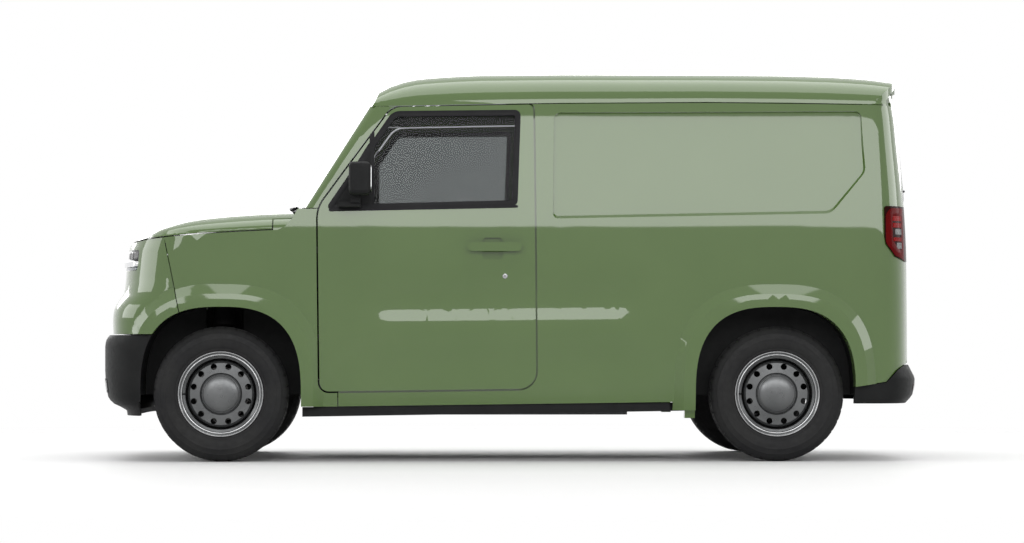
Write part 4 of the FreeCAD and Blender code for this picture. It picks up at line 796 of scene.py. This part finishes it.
def make_window_seals():
    seal = frame_ring(side_at, outline(WINDOW, 260, 4.0), outline(WINDOW, 260, -21.0), 3.2, -4.6)
    both(seal, "window_seal_%s", rubber, bodies=DOORS)
    for label, points, count, mat, top, bottom, edge in (
            ("window_division_%s", [(-652, 1158, 3), (-630, 1158, 3), (-630, 1508, 3),
                                    (-652, 1478, 3)], 80, rubber, 1.6, -4.8, 2.0),
            ("mirror_sail_%s", [(-832, 1155, 8), (-641, 1155, 3), (-641, 1466, 8)], 150, trim,
             2.4, -5.5, 4.0),
            ("waist_strip_%s", [(-836, 1132, 4), (22, 1150, 4), (22, 1162, 4), (-836, 1145, 4)],
             200, rubber, 4.5, -2.0, 3.0)):
        both(pad_on(side_at, outline(points, count), top, bottom, edge), label, mat, bodies=DOORS)


def make_screen_bands():
    def wide(grow):
        low = half_width(1160) - 62 + grow
        high = half_width(1600) - 62 + grow
        return [(-low, 1158 - grow, 30), (low, 1158 - grow, 30), (high, 1634 + grow, 60),
                (-high, 1634 + grow, 60)]

    band = frame_ring(screen_at, outline(wide(0), 300), outline(wide(-34), 300), 0.7, -0.2)
    piece("screen_band", band, gloss_black)
    seal = frame_ring(tail_at, outline(TAIL_WINDOW, 260, 3), outline(TAIL_WINDOW, 260, -26), 2.0, -3.6)
    piece("tailgate_window_seal", seal, rubber, body="tailgate")


def make_front_lamps():
    at = on_left(nose_at)
    both(strip_on(at, 430, 655, 884, 912, 13.0, -8.0), "lamp_bar_%s", silver)
    # The strip under each lamp bar is painted shade: dark teal stands in for the bar's shaded underside.
    both(strip_on(at, 440, 652, 869, 883.5, 4.5, -8.0), "lamp_underside_%s", bar_underside_shade)
    for k, y in enumerate((500, 560, 620)):
        lens = pad_on(at, outline(box(y - 24, 921, y + 24, 953, 6), 60), 1.2, -8.0, 5.0)
        both(lens, "lamp_lens_%%s_%d" % k, lens_grey)


def make_tail_lamp_detail():
    def at(s, z, out):
        return corner_at(s - TAIL_START_X, z, out + 5.0)

    rim = [(1691, 990, 40), (1742, 932, 40), (1840, 908, 4), (1840, 1154, 4), (1691, 1154, 46)]
    both(frame_ring(at, outline(rim, 170, -3), outline(rim, 170, -40), 1.6, -4.0), "lamp_rim_%s",
         lens_deep)
    blocks = ((1728, 1092, 1136, 1.0, lens_red), (1732, 1062, 1084, 0.9, lens_red),
              (1746, 1030, 1056, 1.3, lens_grey), (1734, 1000, 1018, 0.9, lens_red),
              (1756, 966, 994, 1.2, lens_grey))
    for k, (start, z0, z1, top, mat) in enumerate(blocks):
        block = pad_on(at, outline(box(start, z0, 1838, z1, 4), 80), top, -4.0, 2.5, 6)
        both(block, "lamp_block_%d_%%s" % k, mat)


def make_body_trim():
    lock = discs_on(side_at, -38, 839, ((-3.0, 11.5), (0.6, 11.5), (1.6, 10.6), (1.8, 8.5),
                                        (1.0, 8.0), (1.0, 0.4)), 40)
    both(lock, "door_lock_%s", bright_steel, bodies=DOORS)
    slot = outline(box(-39.2, 833.5, -36.8, 844.5, 1), 30, 0, 1)
    both(pad_on(side_at, slot, 1.5, 0.8, 0.6), "lock_slot_%s", gloss_black, bodies=DOORS)

    def bumper_plate(y, z, out):
        """A place flatter than the bumper, for a plate."""
        p = bumper_at(y, z, out)
        middle = nose_at(0, z, out, bumper_front).x
        return Vector((min(middle, middle + (p.x - middle) * 0.25), y / 1000, z / 1000))

    def gate_plate(y, z, out):
        middle = tail_at(0, z, out).x
        return Vector((middle + (tail_at(y, z, out).x - middle) * 0.4, y / 1000, z / 1000))

    for label, place, z, body, sign, proud in (("front", bumper_plate, 466, "body", 1, 6.0),
                                               ("rear", gate_plate, 1010, "tailgate", -1, 5.0)):
        back = outline(box(sign * -272, z - 62, sign * 272, z + 62, 8), 120)
        piece("plate_holder_" + label, pad_on(place, back, proud, -18.0, 4.0), trim, body=body)
        face = outline(box(sign * -260, z - 55, sign * 260, z + 55, 6), 120)
        piece("blank_plate_" + label, pad_on(place, face, proud + 2.0, 4.0, 2.0), plate_white, body=body)


def make_mirror_detail():
    face = [[mm(x, y, z) for y, z in outline(box(-996, 1214, -866, 1334, 16), 90, grow)]
            for x, grow in ((-641.5, 0.0), (-640.2, -1.2), (-640.2, -6.0))]
    both(tube_between(face), "mirror_face_%s", mirror_face, DOORS)


def signed_power(value, power):
    return math.copysign(abs(value) ** power, value)


def soft_form(size, power=0.34, count=26, crown=0.10, waist=0.04):
    """Closed crowned block about the origin, pulled in between its corners."""
    rings = []
    for i in range(1, count):
        lat = -math.pi / 2 + math.pi * i / count
        w = signed_power(math.sin(lat), power)
        ring = []
        for k in range(2 * count):
            lon = math.pi * k / count
            c = signed_power(math.cos(lat), power)
            u = c * signed_power(math.cos(lon), power)
            v = c * signed_power(math.sin(lon), power)
            bulge = crown * (1 - u * u) * (1 - v * v)
            ring.append(Vector((u * (1 - waist * (1 - v * v)) * size[0] / 2,
                                v * (1 - waist * (1 - u * u)) * size[1] / 2,
                                (w + (bulge if w > 0 else 0)) * size[2] / 2)))
        rings.append(ring)
    return tube_between(rings)


def settle(obj):
    """Keep what the object's modifiers make as its own mesh."""
    made = bpy.data.meshes.new_from_object(obj.evaluated_get(bpy.context.evaluated_depsgraph_get()))
    obj.modifiers.clear()
    obj.data = made


VOXEL = 0.009
PRESSURE = 4
CLOTH_FRAMES = 20
SEAM = (0.007, 0.0055)
RIM_SEAM = (0.004, 0.0045)


def seam_depth(away, seam):
    depth, width = seam
    return depth * math.exp(-(away / width) ** 2)


def sewn_mesh(name, size, seams, cap):
    """Padded cover: a block blown up as cloth, no further than cap, then drawn in at its seams."""
    pad = placed(name, mesh_of(name, soft_form(size)))
    grid = pad.modifiers.new("even_grid", "REMESH")
    grid.mode = "VOXEL"
    grid.voxel_size = VOXEL
    settle(pad)
    start = [v.co.copy() for v in pad.data.vertices]
    cloth = pad.modifiers.new("blown_up", "CLOTH")
    cloth.settings.use_pressure = True
    cloth.settings.uniform_pressure_force = PRESSURE
    cloth.settings.effector_weights.gravity = 0
    for number in range(1, CLOTH_FRAMES + 1):
        bpy.context.scene.frame_set(number)
    settle(pad)
    bpy.context.scene.frame_set(1)
    for vert, was in zip(pad.data.vertices, start):
        move = vert.co - was
        if move.length > cap:
            vert.co = was + move.normalized() * cap
    finer = pad.modifiers.new("finer", "SUBSURF")
    finer.levels = 1
    finer.render_levels = 1
    settle(pad)
    mesh = pad.data
    bpy.data.objects.remove(pad)
    normals = [v.normal.copy() for v in mesh.vertices]
    for vert, normal in zip(mesh.vertices, normals):
        if normal.z > 0.35:
            for axis, at, lo, hi in seams:
                if lo < vert.co[1 - axis] < hi:
                    vert.co = vert.co - normal * seam_depth(vert.co[axis] - at, SEAM)
        rim = abs(vert.co.z - size[2] * 0.30)
        if abs(normal.z) < 0.8 and rim < 0.02:
            vert.co = vert.co - normal * seam_depth(rim, RIM_SEAM)
    return mesh


# Each cover: size, furthest move of the cloth, place, lean, and seams as (axis, at, from, to).
COVERS = (
    ("seat_cushion", (0.425, 0.445, 0.098), 0.024, (-0.172, 0, 0.622), 0,
     [(1, -0.125, -0.16, 0.20), (1, 0.125, -0.16, 0.20), (0, -0.155, -0.125, 0.125),
      (0, 0.03, -0.125, 0.125)]),
    ("seat_back", (0.515, 0.430, 0.078), 0.024, (0.022, 0, 0.915), -85,
     [(1, -0.12, -0.20, 0.21), (1, 0.12, -0.20, 0.21), (0, -0.10, -0.12, 0.12),
      (0, 0.05, -0.12, 0.12), (0, 0.18, -0.12, 0.12)]),
    ("headrest", (0.135, 0.215, 0.058), 0.012, (0.062, 0, 1.272), -87, [(0, 0.03, -0.09, 0.09)]))
SEAT_Y = 370


def make_seats():
    """Padded covers, a plain base in place of the solid seats, and headrest posts."""
    sewn = []
    for label, size, cap, at, lean, seams in COVERS:
        place = Matrix.Translation(at) @ Matrix.Rotation(math.radians(lean), 4, "Y")
        sewn.append((label, sewn_mesh(label + "_cover", size, seams, cap), place))
    for side, name in SIDES:
        y = SEAT_Y * side
        for label, mesh, place in sewn:
            own = mesh.copy()
            own.transform(Matrix.Translation((0, y / 1000, 0)) @ place)
            own.materials.clear()
            own.materials.append(cloth_grey)
            own.shade_smooth()
            obj = placed("%s_%s" % (label, name), own)
            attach(obj, "body")
        shell = [[mm(x, y + v, z)
                  for x, v in outline(box(-335 + g, -205 + g, 70 - g, 205 - g, 40), 60)]
                 for z, g in ((371, 22), (380, 16), (470, 30), (545, 10), (562, 0), (575, 0))]
        base = piece("seat_base_" + name, tube_between(shell), cab_grey)
        if side < 0:
            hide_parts("seats")
        for k, v in enumerate((-55, 55)):
            post = [[mm(x + 6 * math.cos(t), y + v + 6 * math.sin(t), z) for t in turns(16)]
                    for x, z in ((48, 1120), (60, 1235))]
            piece("headrest_post_%s_%d" % (name, k), tube_between(post), bright_steel)


def make_steering():
    """Rim, hub pad and three spokes round the steering column's axis."""
    axis = Vector((0.93, 0.0, 0.37)).normalized()
    up = Vector((-axis.z, 0, axis.x))
    side = Vector((0, 1, 0))
    mid = mm(-590, -370, 1020) + axis * 0.022

    def at(r, angle, lift):
        return mid + (side * math.cos(angle) + up * math.sin(angle)) * r + axis * lift

    def part(name, rings, mat, caps=True):
        return piece(name, tube_between(rings, caps), mat, "steering_wheel")

    rings = [[at(0.185 + 0.0135 * math.cos(t), a, 0.0125 * math.sin(t)) for t in turns(20)]
             for a in turns(120)]
    rim = part("steering_rim", rings + rings[:1], cab_grey, False)
    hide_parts("steering_wheel")
    part("steering_hub", [[at(r * (1 + 0.16 * abs(math.cos(a)) ** 3), a, lift) for a in turns(64)]
                          for r, lift in ((0.036, -0.020), (0.060, -0.016), (0.068, 0.004),
                                          (0.066, 0.014), (0.056, 0.021), (0.034, 0.025),
                                          (0.010, 0.026))], trim)
    section = ((-1, -0.4), (-0.8, -1), (0.8, -1), (1, -0.4), (1, 0.4), (0.8, 1), (-0.8, 1), (-1, 0.4))
    for k, a in enumerate((math.radians(8), math.radians(172), math.radians(270))):
        across = side * -math.sin(a) + up * math.cos(a)
        part("steering_spoke_%d" % k,
             [[at(r, a, 0.002) + across * (w * c) + axis * (t * s) for c, s in section]
              for r, w, t in ((0.055, 0.026, 0.010), (0.090, 0.019, 0.008), (0.130, 0.015, 0.007),
                              (0.160, 0.017, 0.007), (0.182, 0.024, 0.008))], trim)


def loft_x(name, stations, mat, radius=14, count=72):
    """Lengthways form of the cab: (x, y0, y1, z0, z1) boxes with rounded corners, joined in turn."""
    rings = []
    for x, y0, y1, z0, z1 in stations:
        r = min(radius, (y1 - y0) * 0.45, (z1 - z0) * 0.45)
        rings.append([mm(x, y, z) for y, z in outline(box(y0, z0, y1, z1, r), count, 0, 3)])
    piece(name, tube_between(rings), mat)


def make_cab():
    loft_x("instrument_hood", [(-800, -480, -260, 1072, 1090), (-780, -500, -240, 1070, 1120),
                               (-730, -505, -235, 1060, 1122), (-706, -500, -240, 1050, 1112)],
           cab_grey, 24)
    loft_x("instrument_face", [(-708, -490, -250, 1058, 1104), (-703, -486, -254, 1062, 1100)],
           gloss_black, 16)
    loft_x("centre_console", [(-760, -110, 110, 640, 1040), (-712, -118, 118, 640, 1050),
                              (-690, -108, 108, 700, 1030), (-684, -96, 96, 720, 1018)],
           cab_grey, 26)
    loft_x("console_screen", [(-688, -84, 84, 905, 1005), (-681.5, -84, 84, 905, 1005),
                              (-680.5, -80, 80, 909, 1001)], gloss_black, 8)
    for k, y in enumerate((-52, 0, 52)):
        knob = discs_on(lambda a, b, x: mm(x, a, b), y, 850,
                        ((-690, 20), (-676, 19), (-672, 17), (-671, 12)), 32)
        piece("console_knob_%d" % k, knob, trim)
    for k, y in enumerate((-610, -165, 165, 610)):
        loft_x("air_vent_frame_%d" % k, [(-735, y - 62, y + 62, 938, 1008),
                                         (-694, y - 62, y + 62, 938, 1008),
                                         (-691, y - 58, y + 58, 942, 1004)], trim, 16)
        for i in range(4):
            z = 951 + i * 14
            loft_x("air_vent_slat_%d_%d" % (k, i), [(-693, y - 50, y + 50, z, z + 4),
                                                    (-687, y - 50, y + 50, z + 2, z + 5)],
                   gloss_black, 2, 24)
    loft_x("glove_box", [(-722, 190, 560, 800, 915), (-702, 190, 560, 800, 915),
                         (-697, 196, 554, 806, 909)], cab_grey, 18)
    for k, (y, half) in enumerate(((-330, 22.5), (-440, 27.5))):
        loft_x("pedal_pad_%d" % k, [(-770, y - half, y + half, 455, 545),
                                    (-756, y - half, y + half, 455, 545)], rubber, 8, 40)
        loft_x("pedal_arm_%d" % k, [(-800, y - 8, y + 8, 500, 780), (-770, y - 8, y + 8, 500, 560)],
               chassis_black, 4, 24)


def make_corners():
    """Painted pieces that close the body's corners: at the scuttle, under the roof's rear edge,
    and behind the seam between bonnet and front panel."""
    rings = []
    for x in spaced(-1086, -985, 8):
        top = [skin_bonnet(x, -(0.952 + 0.048 * k / 10)) for k in range(11)]
        rings.append(top + [p - Vector((0, 0, 0.012)) for p in reversed(top)])
    both(tube_between(rings), "cowl_corner_%s", paint)

    rings = []
    for z in spaced(1584, 1642, 8):
        out = [skin_tail(a, z, tail_x, -5) for a in spaced(0, 33, 3)]
        inside = [skin_tail(a, z, tail_x, -16) - Vector((0.011, 0, 0)) for a in spaced(0, 33, 3)]
        rings.append([p - Vector((0.004, 0, 0)) for p in out + inside[::-1]])
    both(turned(tube_between(rings)), "roof_corner_%s", paint)

    def behind_seam(a, drop, inset):
        z = bonnet_edge_z(skin_nose(a, 1000).x * 1000) - drop
        return skin_nose(a, z, lambda h: nose_x(h) + inset, -inset)

    rings = [[behind_seam(a, drop, inset) for drop, inset in ((2.5, 2.5), (26, 2.5), (26, 11), (2.5, 11))]
             for a in spaced(4, 86, 2)]
    both(tube_between(rings), "nose_edge_%s", paint)


def make_front_details():
    grille = outline([(-360, 300, 22), (360, 300, 22), (330, 392, 22), (-330, 392, 22)], 220)
    piece("grille_panel", pad_on(bumper_at, grille, 0.9, -10.0, 4.0, 8), gloss_black)
    for k in range(5):
        z = 316 + k * 15
        piece("grille_bar_%d" % k,
              strip_on(bumper_at, -338 + k * 5, 338 - k * 5, z, z + 6, 5.0, -4.0, 60), trim)
    for label, mat, grow, top, bottom in (("fog_lamp_bezel_%s", trim, 9, 2.2, -8.0),
                                          ("fog_lamp_lens_%s", lens_grey, -2, 4.0, 0.0)):
        line = outline(box(470 - grow, 318 - grow, 580 + grow, 366 + grow, 16), 90)
        both(pad_on(on_left(bumper_at), line, top, bottom, 4.0), label, mat)
    for name, y0, y1, foot in (("left", -520, -60, -500), ("right", 50, 510, 505)):
        piece("wiper_blade_" + name, strip_on(screen_at, y0, y1, 1160, 1166, 10.0, 3.0, 50), rubber)

        def arm_line(t):
            y = foot + ((y0 + y1) / 2 - foot) * t
            return screen_at(y, 1155 + 8 * t, 12.0 + 2 * math.sin(math.pi * t))

        section = ((-0.003, -1), (-0.003, 1), (0.003, 1), (0.003, -1))
        piece("wiper_arm_" + name, bar_along(arm_line, 12, 0.005, 0.002, section), trim)


def make_rear_details():
    for label, ends, heights, top, bottom, count, mat in (
            ("tailgate_handle", (-330, 330), (1112, 1142), 16.0, -6.0, 60, trim),
            ("tailgate_pull", (-120, 120), (1100, 1110), 13.0, -4.0, 40, gloss_black),
            ("rear_wiper_blade", (-470, -60), (1238, 1247), 14.0, -3.0, 50, rubber)):
        bar = strip_on(tail_at, *ends, *heights, top, bottom, count)
        piece(label, bar, mat, body="tailgate")
    for k, y in enumerate((-190, 190)):
        lamp = pad_on(tail_at, outline(box(y - 30, 1088, y + 30, 1100, 5), 50), 5.0, -4.0, 2.0)
        piece("plate_lamp_%d" % k, turned(lamp), lens_grey, "tailgate")
    reflector = pad_on(on_left(rear_bumper_at), outline(box(480, 322, 620, 352, 8), 80), 2.0, -6.0, 3.0)
    both(turned(reflector), "rear_reflector_%s", lens_dark)

    def arm_line(t):
        return tail_at(20 - 300 * t, 1206 + 40 * t, 17.0 + 8 * math.sin(math.pi * t))

    section = ((-0.004, -1), (0.003, -1), (0.003, 1), (-0.004, 1))
    piece("rear_wiper_arm", bar_along(arm_line, 16, 0.009, 0.004, section), trim, body="tailgate")
    boss = discs_on(tail_at, 20, 1206, ((-8, 20), (10, 20), (17, 17), (20, 10), (20.5, 1)), 40)
    piece("rear_wiper_boss", boss, trim, body="tailgate")


make_seats()
make_steering()
make_cab()
make_corners()
make_front_details()
make_rear_details()
make_tyres()
make_wheel_trim()
make_window_seals()
make_screen_bands()
make_front_lamps()
make_tail_lamp_detail()
make_body_trim()
make_mirror_detail()


# Each panel of light: place, height that it aims at, its size in metres, power in watts.
LIGHTS = (("left_panel", (0, -7.0, 3.2), 0.9, (12.0, 2.7), 330),
          ("right_panel", (0, 7.0, 3.2), 0.9, (12.0, 2.7), 330),
          ("front_panel_light", (-8.0, 0, 3.0), 0.9, (6.0, 3.0), 150),
          ("rear_panel_light", (8.0, 0, 3.0), 0.9, (6.0, 3.0), 150),
          ("top_panel", (0, 0, 6.5), 0, (9.0, 6.0), 330))
WHITE = (1, 1, 1, 1)
AMBIENT = 0.12


def make_light():
    """Soft panels, and a dim world that looks white to the camera, in gloss and through glass."""
    for name, place, aim, size, power in LIGHTS:
        data = bpy.data.lights.new(name, "AREA")
        data.shape = "RECTANGLE"
        data.size, data.size_y = size
        data.energy = power
        obj = placed(name, data)
        obj.location = place
        obj.rotation_euler = (Vector((0, 0, aim)) - Vector(place)).to_track_quat("-Z", "Y").to_euler()
        obj.visible_camera = False
    world = bpy.data.worlds.new("studio")
    bpy.context.scene.world = world
    world.use_nodes = True
    tree = world.node_tree
    tree.nodes.clear()
    node_of(tree, "ShaderNodeOutputWorld")
    rays = node_of(tree, "ShaderNodeLightPath").outputs
    bright = rays["Is Camera Ray"]
    for kind in ("Is Glossy Ray", "Is Transmission Ray"):
        bright = node_of(tree, "ShaderNodeMath", {0: bright, 1: rays[kind]},
                         operation="MAXIMUM").outputs[0]
    blend_output(tree, bright, node_of(tree, "ShaderNodeBackground", {0: WHITE, 1: AMBIENT}),
                 node_of(tree, "ShaderNodeBackground", {0: WHITE, 1: 1.0}))


def make_floor():
    """Pale round floor that fades out away from the van."""
    rings = (0.0, 1.0, 2.0, 3.0, 4.5, 6.0, 9.0, 14.0)
    count = 64
    verts = [(r * math.cos(a), r * math.sin(a), 0.0) for r in rings for a in turns(count)]
    faces = [(i * count + k, i * count + (k + 1) % count, (i + 1) * count + (k + 1) % count,
              (i + 1) * count + k) for i in range(len(rings) - 1) for k in range(count)]
    obj = placed("studio_floor", mesh_of("studio_floor", (verts, faces)))
    mat, tree, shader, coords = new_material("pale_floor")
    pale = mix_colour(tree, noise(tree, coords, 1.2), (0.86, 0.86, 0.86), (0.88, 0.88, 0.88))
    fill(tree, shader, {"Base Color": pale, "Specular IOR Level": 0.2,
                        "Roughness": spread(tree, noise(tree, coords, 30), 0.55, 0.65)})
    away = node_of(tree, "ShaderNodeVectorMath", {0: coords}, operation="LENGTH").outputs["Value"]
    blend_output(tree, spread(tree, away, 0.0, 1.0, 2.2, 6.0), shader,
                 node_of(tree, "ShaderNodeBsdfTransparent"))
    obj.data.materials.append(mat)


def make_camera():
    data = bpy.data.cameras.new("camera")
    data.lens = 114.7
    data.sensor_width = 36.0
    data.clip_end = 200
    obj = placed("camera", data)
    obj.location = (-0.392, -15.561, 0.503)
    obj.rotation_euler = (math.radians(91.386), 0, math.radians(-1.496))
    bpy.context.scene.camera = obj


make_light()
make_floor()
make_camera()
bpy.context.scene.view_settings.view_transform = "Standard"
